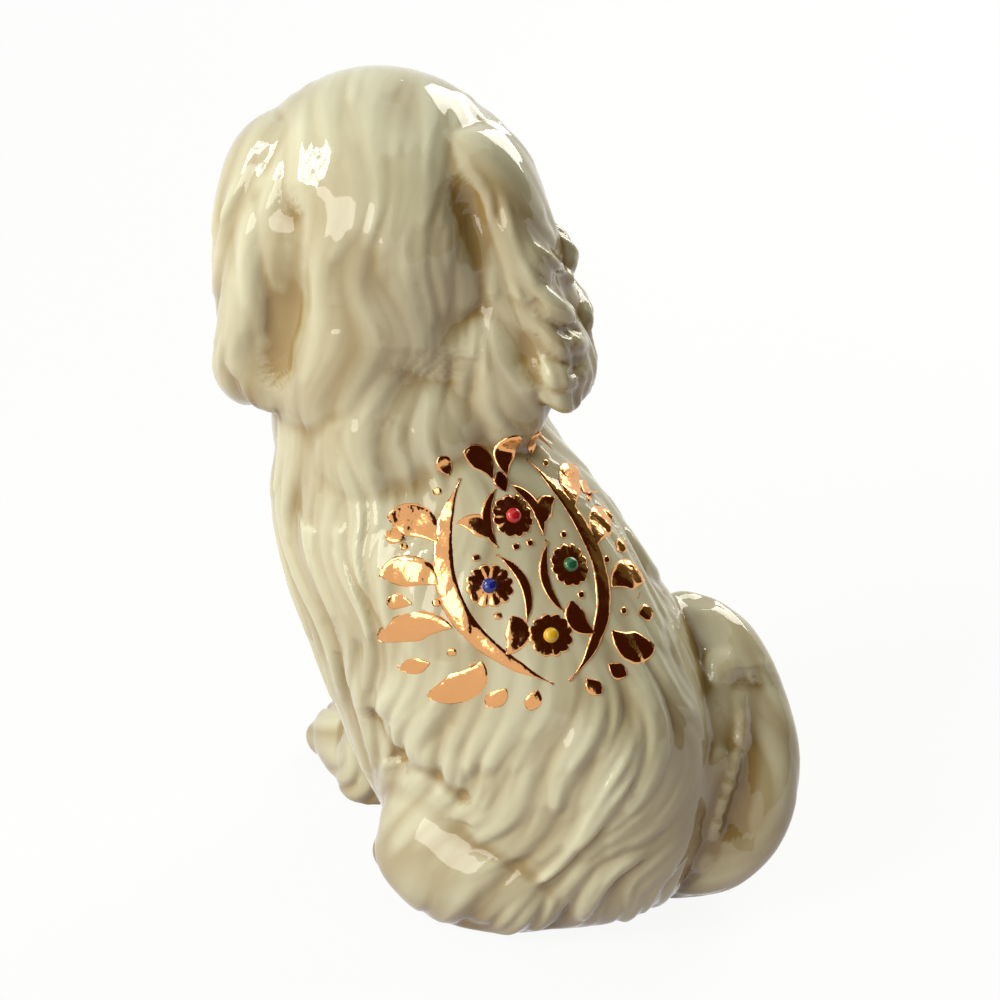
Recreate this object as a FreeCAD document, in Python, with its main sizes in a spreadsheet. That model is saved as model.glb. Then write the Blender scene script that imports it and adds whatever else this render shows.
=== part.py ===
import FreeCAD, Part
import math
import os

# Seated spaniel figure in glazed china, built from its casts as they are luted together.
# Frame: millimetres, +Z up, origin on the flat underside. The face looks along -Y and the
# body is turned from it by body_turn, about the vertical.

SIZES = [
    ("body_turn", -23.3, "direction of the back, in degrees from +X"),
    ("chest_turn", -27, "the chest and forelegs turn this much further towards the face, in degrees"),
    ("shoulder_height", 122, "top of the body cast, where the head is luted on"),
    ("body_depth", 92, "chest to rump"),
    ("body_width", 64, "flank to flank"),
    ("wall", 4, "thickness of the cast clay"),
    ("thigh_length", 54, "knee to rump along one haunch"),
    ("thigh_width", 33, "across one haunch"),
    ("thigh_height", 33.5, "height of one haunch"),
    ("thigh_lift", 12.6, "centre of the haunch above the ground"),
    ("knee_turn", 24.5, "each knee points outwards by this many degrees"),
    ("head_lift", 20.6, "centre of the skull above the top of the body cast"),
    ("skull_width", 61, "across the skull"),
    ("skull_length", 54, "brow to nape"),
    ("skull_height", 63.4, "under the jaw to the crown"),
    ("muzzle_width", 27, "across the flews"),
    ("muzzle_height", 23, "bridge to lip"),
    ("muzzle_reach", 18, "nose in front of the brow"),
    ("nape_width", 50, "across the neck that the head cast ends with"),
    ("nape_depth", 48, "throat to nape"),
    ("nose_width", 11, "across the nose leather"),
    ("eye_width", 8, "across one eye"),
    ("eye_spread", 24, "between the centres of the eyes"),
    ("left_ear_drop", 62, "root to tip of the left ear, straight down"),
    ("right_ear_drop", 57, "root to tip of the right ear, straight down"),
    ("ear_width", 29, "front to back of one ear"),
    ("ear_thickness", 17.5, "through the feathering of one ear"),
    ("left_ear_inset", 7.7, "middle of the left ear inside the side of the skull"),
    ("right_ear_inset", 6.7, "middle of the right ear inside the side of the skull"),
    ("left_ear_flare", 4, "left tip outside its root"),
    ("right_ear_flare", 14.5, "right tip outside its root"),
    ("chest_reach", 32, "middle of the forepaws from the turn of the chest"),
    ("leg_height", 62, "top of one foreleg, inside the chest"),
    ("leg_width", 17, "across one foreleg"),
    ("leg_gap", 1.4, "between the two forelegs"),
    ("paw_length", 29, "heel to toes of one forepaw"),
    ("paw_width", 18.6, "across one forepaw"),
    ("paw_height", 16, "top of one forepaw"),
    ("toe_width", 7.6, "across one toe"),
    ("hind_paw_length", 26, "heel to toes of one hind paw"),
    ("hind_paw_width", 15, "across one hind paw"),
    ("hind_paw_height", 11.5, "top of one hind paw"),
    ("tail_thickness", 21.5, "across the plume of the tail"),
    ("tail_height", 63, "tip of the tail above the ground"),
    ("plate_thickness", 4, "clay plate that closes the underside"),
    ("vent_width", 3.4, "air hole of the kiln firing"),
    ("gilt_thickness", 0.3, "raised gilding over the glaze"),
    ("spray_width", 52, "across the gilt spray on the back"),
    ("spray_turn", 153, "direction of the spray from the front of the body, in degrees"),
    ("spray_tilt", 25, "the spray faces upwards by this many degrees"),
    ("star_width", 8.2, "across one gilt star flower"),
    ("jewel_width", 3.1, "across one bead of enamel"),
]

# Height of each section of the body over shoulder_height, its centre and half depth over
# body_depth, and its half width over body_width, from the foot up.
TORSO_SHARES = [
    (0.0, -0.100, 0.341, 0.403),
    (0.115, -0.139, 0.421, 0.461),
    (0.262, -0.104, 0.482, 0.486),
    (0.426, -0.030, 0.505, 0.498),
    (0.574, 0.066, 0.473, 0.497),
    (0.721, 0.165, 0.391, 0.456),
    (0.852, 0.239, 0.300, 0.410),
    (1.0, 0.285, 0.212, 0.303),
]

# Distance down the ear over its drop, half width, half thickness, how far out the section
# stands over the middle of the ear, and its share of the flare.
EAR_SHARES = [
    (0.0, 0.20, 0.25, 0.74, 0.0),
    (0.05, 0.33, 0.42, 0.83, 0.0),
    (0.20, 0.44, 0.52, 0.96, 0.05),
    (0.46, 0.50, 0.50, 1.0, 0.28),
    (0.70, 0.50, 0.51, 1.0, 0.60),
    (0.89, 0.40, 0.43, 1.0, 0.93),
    (0.98, 0.21, 0.23, 1.0, 1.0),
    (1.0, 0.11, 0.12, 1.0, 1.0),
]

# Distance along the muzzle, from inside the skull to the lip, and its half sizes.
MUZZLE_SHARES = [
    (0.0, 0.56, 0.54),
    (0.35, 0.53, 0.52),
    (0.62, 0.50, 0.50),
    (0.84, 0.45, 0.44),
    (0.96, 0.31, 0.30),
    (1.0, 0.14, 0.14),
]

# Heights and places on the head, over the skull's size in the same direction.
MUZZLE_START_SHARE = 0.30
MUZZLE_SUNK_SHARE = 0.20
MUZZLE_DROP_SHARE = 0.17
EYE_LIFT_SHARE = 0.05
EAR_TOP_SHARE = 0.37
EAR_BACK_SHARE = 0.09
NAPE_BACK_SHARE = 0.08
NAPE_DROP_SHARE = 0.34
NAPE_HEIGHT_SHARE = 0.54

# Rounded forms of the head, in pairs: the middle to the side, forward and up over the skull's
# width, length and height, then the half sizes over the same.
SKULL_FORM_SHARES = {
    "cheek": (0.17, 0.24, -0.19, 0.23, 0.22, 0.22),
    "brow": (0.14, 0.28, 0.13, 0.20, 0.22, 0.17),
}

# Rounded forms of the muzzle, from its root: the middle to the side over muzzle_width, along
# the muzzle over its length and up over muzzle_height, then the half sizes over the same.
MUZZLE_FORM_SHARES = {
    "flew": (0.23, 0.60, -0.14, 0.29, 0.42, 0.41),
    "chin": (0.0, 0.52, -0.46, 0.30, 0.38, 0.24),
    "bridge": (0.0, 0.42, 0.32, 0.34, 0.46, 0.27),
}

# Place of one haunch over the body's depth and width, and of the hind paw in front of it.
HAUNCH_BACK_SHARE = 0.443
HAUNCH_SIDE_SHARE = 0.545
HIND_PAW_SHARES = (0.05, 0.30)

# Height of each section of a foreleg over leg_height, its reach over chest_reach, and its
# half depth and half width over leg_width.
LEG_SHARES = [
    (0.0, 0.72, 0.50, 0.50),
    (0.20, 0.71, 0.49, 0.49),
    (0.42, 0.69, 0.50, 0.48),
    (0.66, 0.62, 0.70, 0.56),
    (1.0, 0.50, 0.95, 0.75),
]

# Sections of the tail: up over tail_height, forward over body_depth, left over body_width,
# and half depth and half width over tail_thickness, from the ground to the tip on the back.
TAIL_SHARES = [
    (0.0, -0.455, -0.110, 0.24, 0.24),
    (0.07, -0.510, -0.135, 0.40, 0.38),
    (0.18, -0.565, -0.165, 0.49, 0.46),
    (0.36, -0.602, -0.210, 0.52, 0.50),
    (0.56, -0.590, -0.260, 0.52, 0.50),
    (0.76, -0.530, -0.310, 0.51, 0.46),
    (0.91, -0.455, -0.345, 0.47, 0.36),
    (1.0, -0.400, -0.360, 0.27, 0.16),
]

# The gilt spray, in shares of spray_width from its middle. A blade is two arcs between the
# same two ends: its ends, then how far each arc bulges. Each is repeated mirrored.
SCROLL_SHARES = [
    ((0.030, -0.44), (0.150, 0.400), -0.235, -0.185),
    ((0.020, -0.33), (0.085, 0.060), -0.075, -0.045),
    ((0.095, 0.110), (0.030, 0.330), -0.060, -0.030),
]
LEAF_SHARES = [
    ((0.245, -0.300), (0.400, -0.400), 0.045, -0.045),
    ((0.315, -0.150), (0.495, -0.165), 0.050, -0.040),
    ((0.325, 0.020), (0.490, 0.095), 0.045, -0.045),
    ((0.290, 0.180), (0.420, 0.310), 0.040, -0.045),
    ((0.170, -0.290), (0.120, -0.150), 0.040, -0.030),
    ((0.210, 0.235), (0.110, 0.155), 0.032, -0.032),
    ((0.035, 0.370), (0.120, 0.495), 0.040, -0.030),
]
DOT_SHARES = [(0.330, -0.245), (0.395, -0.065), (0.395, 0.190), (0.240, 0.370),
              (0.210, 0.060), (0.200, -0.100), (0.075, -0.210)]
DOT_WIDTH_SHARE = 0.030
DOT_CORNERS = 8
STAR_SHARES = {"red": (0.0, 0.215), "blue": (-0.165, -0.020), "green": (0.165, -0.020),
               "yellow": (0.0, -0.255)}
STAR_POINTS = 8
STAR_NOTCH_SHARE = 0.62
JEWEL_SINK_SHARE = 0.15
SPRAY_HEIGHT_SHARE = 0.555
SPRAY_FORWARD_SHARE = 0.115

doc = FreeCAD.newDocument("SeatedSpaniel")
sheet = doc.addObject("Spreadsheet::Sheet", "sizes")
for row, (alias, value, meaning) in enumerate(SIZES, start=1):
    sheet.set(f"A{row}", alias)
    sheet.set(f"B{row}", str(value))
    sheet.set(f"C{row}", meaning)
    sheet.setAlias(f"B{row}", alias)
doc.recompute()

BODY_TURN = "sizes.body_turn * 1deg"
HEAD_HEIGHT = "(sizes.shoulder_height + sizes.head_lift)"
NECK_FORWARD = f"sizes.body_depth * {TORSO_SHARES[-1][1]}"
X_AXIS = FreeCAD.Vector(1, 0, 0)
Z_AXIS = FreeCAD.Vector(0, 0, 1)


def size(alias):
    """The value of one driving dimension."""
    return float(sheet.get(alias))


def bind(part, **expressions):
    """Tie properties of a part to the driving dimensions."""
    for name, expression in expressions.items():
        part.setExpression(name, expression)


def place_in_body(part, forward, left, up, turn="0deg"):
    """Place a part in the body's own axes, which are turned from the face."""
    part.Placement.Rotation = FreeCAD.Rotation(Z_AXIS, 0)
    part.setExpression("Placement.Base.x", f"({forward}) * cos({BODY_TURN}) - ({left}) * sin({BODY_TURN})")
    part.setExpression("Placement.Base.y", f"({forward}) * sin({BODY_TURN}) + ({left}) * cos({BODY_TURN})")
    part.setExpression("Placement.Base.z", f"{up}")
    part.setExpression("Placement.Rotation.Angle", f"{BODY_TURN} + {turn}")


def place_in_head(part, right, forward, up, quarter_turns=0, axis=X_AXIS):
    """Place a part from the skull's centre, in the axes of the face, which looks along -Y."""
    part.Placement.Rotation = FreeCAD.Rotation(axis, 90 * quarter_turns)
    part.setExpression("Placement.Base.x", f"{NECK_FORWARD} * cos({BODY_TURN}) - ({right})")
    part.setExpression("Placement.Base.y", f"{NECK_FORWARD} * sin({BODY_TURN}) - ({forward})")
    part.setExpression("Placement.Base.z", f"{HEAD_HEIGHT} + ({up})")


def ellipse(name, half_long, half_short):
    """One section, at least as long as it is across."""
    section = doc.addObject("Part::Ellipse", name)
    bind(section, MajorRadius=f"max({half_long}; {half_short})", MinorRadius=half_short)
    return section


def ellipsoid(name, half_x, half_y, half_z):
    """A rounded cast with its own three half sizes."""
    solid = doc.addObject("Part::Ellipsoid", name)
    solid.Angle1, solid.Angle2, solid.Angle3 = -90, 90, 360
    bind(solid, Radius1=half_z, Radius2=half_x, Radius3=half_y)
    return solid


def loft(name, sections):
    """A smooth solid through its sections."""
    solid = doc.addObject("Part::Loft", name)
    solid.Sections = sections
    solid.Solid = True
    solid.Ruled = False
    return solid


def fuse(name, shapes):
    """Several shapes as one solid."""
    solid = doc.addObject("Part::MultiFuse", name)
    solid.Shapes = shapes
    return solid


def cut(name, base, tool):
    """The base without the tool."""
    solid = doc.addObject("Part::Cut", name)
    solid.Base = base
    solid.Tool = tool
    return solid


def common(name, base, tool):
    """What the base and the tool share."""
    solid = doc.addObject("Part::Common", name)
    solid.Base = base
    solid.Tool = tool
    return solid


def torso_loft(name, growth, top):
    """The body from foot to neck, grown sideways by an amount, up to a height."""
    sections = []
    for number, (height, centre, depth, width) in enumerate(TORSO_SHARES):
        section = ellipse(f"{name}_section_{number}", f"sizes.body_depth * {depth} + {growth}",
                          f"sizes.body_width * {width} + {growth}")
        place_in_body(section, f"sizes.body_depth * {centre}", "0", f"{top} * {height}")
        sections.append(section)
    return loft(name, sections)


def haunch(name, side, growth):
    """One thigh, as the seated dog folds it, with the knee turned out."""
    solid = ellipsoid(name, f"sizes.thigh_length / 2 + {growth}", f"sizes.thigh_width / 2 + {growth}",
                      f"sizes.thigh_height / 2 + {growth}")
    forward = f"sizes.thigh_length / 2 - sizes.body_depth * {HAUNCH_BACK_SHARE}"
    left = f"{side} * (sizes.body_width * {HAUNCH_SIDE_SHARE} - sizes.thigh_width / 2)"
    place_in_body(solid, forward, left, "sizes.thigh_lift", f"{side} * sizes.knee_turn * 1deg")
    return solid


# The ground takes off whatever would reach under the foot.
ground = doc.addObject("Part::Box", "ground")
bind(ground, Length="sizes.body_depth * 4", Width="sizes.body_depth * 4", Height="sizes.body_depth")
ground.setExpression("Placement.Base.x", "-sizes.body_depth * 2")
ground.setExpression("Placement.Base.y", "-sizes.body_depth * 2")
ground.setExpression("Placement.Base.z", "-sizes.body_depth")

# Body cast: torso and haunches, slip cast, so hollow and open underneath.
torso = torso_loft("torso", "0", "sizes.shoulder_height")
hollow = torso_loft("torso_hollow", "-sizes.wall", "(sizes.shoulder_height - sizes.wall)")
haunches = [cut(f"{side_name}_haunch", haunch(f"{side_name}_thigh", side, "0"), ground)
            for side_name, side in (("left", 1), ("right", -1))]
body_form = fuse("body_form", [torso] + haunches)

neck_vent = doc.addObject("Part::Cylinder", "neck_vent")
bind(neck_vent, Radius="sizes.vent_width / 2", Height="sizes.wall * 3")
place_in_body(neck_vent, NECK_FORWARD, "0", "sizes.shoulder_height - sizes.wall * 2")
body_open = cut("body_open", body_form, hollow)
for side_name, side in (("left", 1), ("right", -1)):
    body_open = cut(f"{side_name}_thinned", body_open, haunch(f"{side_name}_haunch_hollow", side, "-sizes.wall"))
body_shell = cut("body_shell", body_open, neck_vent)

# Plate of clay that closes the underside, flush with the foot, with the air hole through it.
slab = doc.addObject("Part::Box", "slab")
bind(slab, Length="sizes.body_depth * 2", Width="sizes.body_depth * 2", Height="sizes.plate_thickness")
slab.setExpression("Placement.Base.x", "-sizes.body_depth")
slab.setExpression("Placement.Base.y", "-sizes.body_depth")
vent = doc.addObject("Part::Cylinder", "vent")
bind(vent, Radius="sizes.vent_width / 2", Height="sizes.plate_thickness * 3")
place_in_body(vent, "-sizes.body_depth * 0.25", "0", "-sizes.plate_thickness")
base_plate = cut("base_plate", common("plate_form", hollow, slab), vent)

# Head cast: skull, muzzle and neck, hollow in the skull, open onto the body that it is luted to.
skull = ellipsoid("skull", "sizes.skull_width / 2", "sizes.skull_length / 2", "sizes.skull_height / 2")
place_in_head(skull, "0", "0", "0")
skull_hollow = ellipsoid("skull_hollow", "sizes.skull_width / 2 - sizes.wall",
                         "sizes.skull_length / 2 - sizes.wall", "sizes.skull_height / 2 - sizes.wall")
place_in_head(skull_hollow, "0", "0", "0")
nape = ellipsoid("nape", "sizes.nape_width / 2", "sizes.nape_depth / 2", f"sizes.skull_height * {NAPE_HEIGHT_SHARE}")
place_in_head(nape, "0", f"-sizes.skull_length * {NAPE_BACK_SHARE}", f"-sizes.skull_height * {NAPE_DROP_SHARE}")

MUZZLE_START = f"sizes.skull_length * {MUZZLE_START_SHARE}"
MUZZLE_LENGTH = f"(sizes.skull_length * {MUZZLE_SUNK_SHARE} + sizes.muzzle_reach)"
MUZZLE_LIFT = f"-sizes.skull_height * {MUZZLE_DROP_SHARE}"
muzzle_sections = []
for number, (along, width, height) in enumerate(MUZZLE_SHARES):
    section = ellipse(f"muzzle_section_{number}", f"sizes.muzzle_width * {width}", f"sizes.muzzle_height * {height}")
    place_in_head(section, "0", f"{MUZZLE_START} + {MUZZLE_LENGTH} * {along}", MUZZLE_LIFT, quarter_turns=1)
    muzzle_sections.append(section)
muzzle = loft("muzzle", muzzle_sections)

face_forms = []
for form_name, (side, forward, up, half_side, half_forward, half_up) in SKULL_FORM_SHARES.items():
    for side_name, sign in (("left", -1), ("right", 1)):
        form = ellipsoid(f"{side_name}_{form_name}", f"sizes.skull_width * {half_side}",
                         f"sizes.skull_length * {half_forward}", f"sizes.skull_height * {half_up}")
        place_in_head(form, f"sizes.skull_width * {sign * side}", f"sizes.skull_length * {forward}",
                      f"sizes.skull_height * {up}")
        face_forms.append(form)
for form_name, (side, along, up, half_side, half_along, half_up) in MUZZLE_FORM_SHARES.items():
    for side_name, sign in (("left", -1), ("right", 1)) if side else (("middle", 0),):
        form = ellipsoid(f"{side_name}_{form_name}", f"sizes.muzzle_width * {half_side}",
                         f"{MUZZLE_LENGTH} * {half_along}", f"sizes.muzzle_height * {half_up}")
        place_in_head(form, f"sizes.muzzle_width * {sign * side}", f"{MUZZLE_START} + {MUZZLE_LENGTH} * {along}",
                      f"{MUZZLE_LIFT} + sizes.muzzle_height * {up}")
        face_forms.append(form)
head_form = fuse("head_form", [skull, nape, muzzle] + face_forms)
head_shell = cut("head_shell", cut("head_on_neck", head_form, torso), skull_hollow)

# Nose leather and eyes, glazed in dark colours, seated on the head.
nose_form = ellipsoid("nose_form", "sizes.nose_width / 2", "sizes.nose_width * 0.34", "sizes.nose_width * 0.38")
place_in_head(nose_form, "0", f"{MUZZLE_START} + {MUZZLE_LENGTH} - sizes.nose_width * 0.12",
              f"{MUZZLE_LIFT} + sizes.muzzle_height * 0.22")
nose = cut("nose", nose_form, head_form)
EYE_LIFT = f"(sizes.skull_height * {EYE_LIFT_SHARE})"
EYE_FORWARD = (f"sizes.skull_length / 2 * sqrt(1 - pow(sizes.eye_spread / sizes.skull_width; 2)"
               f" - pow({EYE_LIFT} * 2 / sizes.skull_height; 2)) - sizes.eye_width * 0.12")
eyes = []
for side_name, side in (("left", -1), ("right", 1)):
    ball = ellipsoid(f"{side_name}_eye_ball", "sizes.eye_width / 2", "sizes.eye_width / 2", "sizes.eye_width / 2")
    place_in_head(ball, f"{side} * sizes.eye_spread / 2", EYE_FORWARD, EYE_LIFT)
    eyes.append(cut(f"{side_name}_eye", ball, head_form))

# Ears: long feathered flaps that spring from the top of the skull and hang beside it.
ears = []
for side_name, side in (("left", -1), ("right", 1)):
    ear_sections = []
    for number, (down, width, thickness, stand, swing) in enumerate(EAR_SHARES):
        section = ellipse(f"{side_name}_ear_section_{number}", f"sizes.ear_width * {width}",
                          f"sizes.ear_thickness * {thickness}")
        out = (f"(sizes.skull_width / 2 - sizes.{side_name}_ear_inset) * {stand}"
               f" + sizes.{side_name}_ear_flare * {swing}")
        place_in_head(section, f"{side} * ({out})", f"-sizes.skull_length * {EAR_BACK_SHARE}",
                      f"sizes.skull_height * {EAR_TOP_SHARE} - sizes.{side_name}_ear_drop * {down}", 1, Z_AXIS)
        ear_sections.append(section)
    ear_form = loft(f"{side_name}_ear_form", ear_sections)
    ears.append(cut(f"{side_name}_ear", cut(f"{side_name}_ear_at_skull", ear_form, head_form), torso))

# Forelegs with their paws and toes, luted to the chest, which turns towards the face.
forelegs = []
LEG_LEFT = "(max(sizes.leg_width; sizes.paw_width) / 2 + sizes.leg_gap / 2)"
CHEST_TURN = "sizes.chest_turn * 1deg"


def place_in_chest(part, forward, left, up):
    """Place a part from the turn of the chest, in the axes of the chest."""
    place_in_body(part, f"sizes.body_depth * 0.10 + ({forward}) * cos({CHEST_TURN}) - ({left}) * sin({CHEST_TURN})",
                  f"({forward}) * sin({CHEST_TURN}) + ({left}) * cos({CHEST_TURN})", up, CHEST_TURN)


for side_name, side in (("left", 1), ("right", -1)):
    leg_sections = []
    for number, (height, forward, depth, width) in enumerate(LEG_SHARES):
        section = ellipse(f"{side_name}_leg_section_{number}", f"sizes.leg_width * {depth}",
                          f"sizes.leg_width * {width}")
        place_in_chest(section, f"sizes.chest_reach * {forward}", f"{side} * {LEG_LEFT}",
                       f"sizes.leg_height * {height}")
        leg_sections.append(section)
    leg = loft(f"{side_name}_leg_form", leg_sections)
    pad = ellipsoid(f"{side_name}_paw_form", "sizes.paw_length / 2", "sizes.paw_width / 2",
                    "sizes.paw_height * 0.58")
    place_in_chest(pad, "sizes.chest_reach", f"{side} * {LEG_LEFT}", "sizes.paw_height * 0.42")
    toes = []
    for number in (-1, 0, 1):
        toe = ellipsoid(f"{side_name}_toe_{number + 2}", "sizes.toe_width * 0.75", "sizes.toe_width / 2",
                        "sizes.toe_width * 0.55")
        place_in_chest(toe, f"sizes.chest_reach + sizes.paw_length * {0.34 - 0.06 * abs(number)}",
                       f"{side} * {LEG_LEFT} + {number} * (sizes.paw_width - sizes.toe_width) * 0.46",
                       "sizes.paw_height * 0.30")
        toes.append(toe)
    paw = cut(f"{side_name}_paw", fuse(f"{side_name}_paw_mass", [pad] + toes), ground)
    form = fuse(f"{side_name}_foreleg_form", [leg, paw])
    forelegs.append(cut(f"{side_name}_foreleg", form, body_form))

# Hind paws, which show in front of the haunches.
hind_paws = []
for (side_name, side), foreleg in zip((("left", 1), ("right", -1)), forelegs):
    pad = ellipsoid(f"{side_name}_hind_paw_form", "sizes.hind_paw_length / 2", "sizes.hind_paw_width / 2",
                    "sizes.hind_paw_height * 0.60")
    place_in_body(pad, f"sizes.body_depth * {HIND_PAW_SHARES[0]}", f"{side} * sizes.body_width * {HIND_PAW_SHARES[1]}",
                  "sizes.hind_paw_height * 0.40", f"{side} * sizes.knee_turn / 2 * 1deg")
    above = cut(f"{side_name}_hind_paw_above", pad, ground)
    clear = cut(f"{side_name}_hind_paw_clear", above, body_form)
    hind_paws.append(cut(f"{side_name}_hind_paw", clear, foreleg))

# Tail: one plume that leaves the rump at the ground and curls up over the right flank.
tail_sections = []
for number, (up, forward, left, depth, width) in enumerate(TAIL_SHARES):
    section = ellipse(f"tail_section_{number}", f"sizes.tail_thickness * {depth}", f"sizes.tail_thickness * {width}")
    place_in_body(section, f"sizes.body_depth * {forward}", f"sizes.body_width * {left}", f"sizes.tail_height * {up}")
    tail_sections.append(section)
tail = cut("tail", loft("tail_form", tail_sections), body_form)

doc.recompute()


def body_point(forward, left, up):
    """A point given in the body's own axes."""
    turn = math.radians(size("body_turn"))
    return FreeCAD.Vector(forward * math.cos(turn) - left * math.sin(turn),
                          forward * math.sin(turn) + left * math.cos(turn), up)


# Gilt spray on the back: outlines on a plane that faces it, carried outwards through a skin
# of gilding laid on the body.
gilt_face = torso_loft("gilt_face", "sizes.gilt_thickness", "sizes.shoulder_height")
gilt_skin = cut("gilt_skin", gilt_face, body_form)
doc.recompute()

facing = body_point(math.cos(math.radians(size("spray_turn"))), math.sin(math.radians(size("spray_turn"))), 0)
tilt = math.radians(size("spray_tilt"))
facing = facing * math.cos(tilt) + Z_AXIS * math.sin(tilt)
spray_middle = body_point(SPRAY_FORWARD_SHARE * size("body_depth"), 0, SPRAY_HEIGHT_SHARE * size("shoulder_height"))
spray_plane = FreeCAD.Placement(spray_middle, FreeCAD.Rotation(Z_AXIS.cross(facing), FreeCAD.Vector(), facing, "ZXY"))
spray_reach = facing * size("body_depth")


def spray_point(across, along):
    """A point of the spray's plane, from shares of its width."""
    return FreeCAD.Vector(across, along, 0) * size("spray_width")


def blade(start, end, bulge_one, bulge_two):
    """A leaf or a scroll: two arcs between the same two ends."""
    across = FreeCAD.Vector(start.y - end.y, end.x - start.x, 0).normalize() * size("spray_width")
    middle = (start + end) / 2
    arcs = [Part.Arc(start, middle + across * bulge_one, end), Part.Arc(end, middle + across * bulge_two, start)]
    return Part.Face(Part.Wire([arc.toShape() for arc in arcs]))


def blades(shares):
    """Every blade of a list and its mirror image."""
    faces = []
    for side in (1, -1):
        for (start_across, start_along), (end_across, end_along), one, two in shares:
            faces.append(blade(spray_point(side * start_across, start_along),
                               spray_point(side * end_across, end_along), side * one, side * two))
    return faces


def polygon(across, along, reaches):
    """A flat figure round one point, with a corner at each reach in turn."""
    corners = []
    for number, reach in enumerate(reaches):
        angle = 2 * math.pi * number / len(reaches)
        corners.append(spray_point(across, along) + FreeCAD.Vector(math.cos(angle), math.sin(angle), 0) * reach)
    return Part.Face(Part.makePolygon(corners + corners[:1]))


def star(across, along):
    """A star flower with straight-sided points."""
    tip = size("star_width") / 2
    return polygon(across, along, [tip, tip * STAR_NOTCH_SHARE] * STAR_POINTS)


def dot(across, along):
    """A small dot of gilding."""
    return polygon(across, along, [size("spray_width") * DOT_WIDTH_SHARE / 2] * DOT_CORNERS)


def gilded(name, faces):
    """The gilding under a set of outlines."""
    prisms = []
    for face in faces:
        face.Placement = spray_plane
        prisms.append(face.extrude(spray_reach))
    outline = doc.addObject("Part::Feature", f"{name}_outline")
    outline.Shape = Part.makeCompound(prisms)
    return common(name, gilt_skin, outline)


gilding = [
    gilded("gilt_scrolls", blades(SCROLL_SHARES)),
    gilded("gilt_leaves", blades(LEAF_SHARES)),
    gilded("gilt_stars", [star(across, along) for across, along in STAR_SHARES.values()]),
    gilded("gilt_dots", [dot(side * across, along) for side in (1, -1) for across, along in DOT_SHARES]),
]


def on_gilding(across, along):
    """Where a line through a point of the spray leaves the gilded face."""
    start = spray_plane.multVec(spray_point(across, along))
    inside = gilt_face.Shape.common(Part.makeLine(start, start + spray_reach))
    return max((vertex.Point for vertex in inside.Vertexes), key=lambda point: point.distanceToPoint(start))


# Beads of coloured enamel, one in the middle of each star.
jewels = []
for colour, (across, along) in STAR_SHARES.items():
    bead = ellipsoid(f"{colour}_bead", "sizes.jewel_width / 2", "sizes.jewel_width / 2", "sizes.jewel_width / 2")
    bead.Placement.Base = on_gilding(across, along) - facing * size("jewel_width") * JEWEL_SINK_SHARE
    jewels.append(cut(f"{colour}_enamel_jewel", bead, gilt_face))

doc.recompute()

parts = [body_shell, base_plate, head_shell, nose, tail] + eyes + ears + forelegs + hind_paws + gilding + jewels
for item in doc.Objects:
    if any(word in item.State for word in ("Invalid", "Error")):
        raise RuntimeError(f"{item.Label} failed: {item.State}")
for part in parts:
    if part.Shape.isNull() or not part.Shape.isValid():
        raise RuntimeError(f"{part.Label} has no valid shape")
    part.Label = part.Name
os.makedirs("parts", exist_ok=True)
for part in parts:
    part.Shape.exportStep(f"parts/{part.Label}.step")
    print(part.Label, len(part.Shape.Solids), round(part.Shape.Volume, 1), len(part.Shape.Faces))
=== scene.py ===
import logging
import math
from dataclasses import dataclass, field
from enum import Enum

import bmesh
import bpy
import numpy as np
from mathutils import Matrix, Vector
from mathutils.bvhtree import BVHTree


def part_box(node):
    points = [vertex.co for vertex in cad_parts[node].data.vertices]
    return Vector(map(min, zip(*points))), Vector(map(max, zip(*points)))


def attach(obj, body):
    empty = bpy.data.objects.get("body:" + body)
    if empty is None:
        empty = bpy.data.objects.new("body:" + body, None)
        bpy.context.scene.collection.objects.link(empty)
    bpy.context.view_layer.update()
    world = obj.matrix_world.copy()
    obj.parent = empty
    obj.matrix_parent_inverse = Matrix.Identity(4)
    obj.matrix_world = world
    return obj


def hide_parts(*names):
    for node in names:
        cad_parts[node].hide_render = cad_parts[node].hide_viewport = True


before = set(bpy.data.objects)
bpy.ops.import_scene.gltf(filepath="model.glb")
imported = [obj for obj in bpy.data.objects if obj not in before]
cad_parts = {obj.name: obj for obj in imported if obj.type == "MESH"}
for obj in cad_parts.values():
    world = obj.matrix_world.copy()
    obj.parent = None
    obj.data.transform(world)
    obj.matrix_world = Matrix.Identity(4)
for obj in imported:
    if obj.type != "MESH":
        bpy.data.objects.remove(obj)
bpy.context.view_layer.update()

# A seated spaniel in cream glazed china with a gilt and enamel spray. The casts of the frame
# are joined as clay, given their fur as a modeller combs it, and cut apart again along the
# seams where the real casts are luted together.

log = logging.getLogger("spaniel")

MM = 0.001
UP = Vector((0, 0, 1))
TINY = 1e-9

Place = tuple[float, float, float]
Flat = tuple[float, float]


class Slot(Enum):
    """The record's material slots."""

    IVORY_GLAZE = "ivory_glaze"
    DARK_GLAZE = "dark_glaze"
    GILDING = "gilding"
    RED_ENAMEL = "red_enamel"
    BLUE_ENAMEL = "blue_enamel"
    GREEN_ENAMEL = "green_enamel"
    YELLOW_ENAMEL = "yellow_enamel"


class Colour(Enum):
    """The colours of the enamel beads, as sRGB hex values."""

    RED = "D41F28"
    BLUE = "1C2C96"
    GREEN = "1E6A3C"
    YELLOW = "F2C31E"

    @property
    def word(self) -> str:
        """Give the colour's name as the nodes have it."""
        return self.name.lower()


class Mark(Enum):
    """The kinds of brush mark in the gilding."""

    SCROLL = "scroll"
    LEAF = "leaf"


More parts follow.
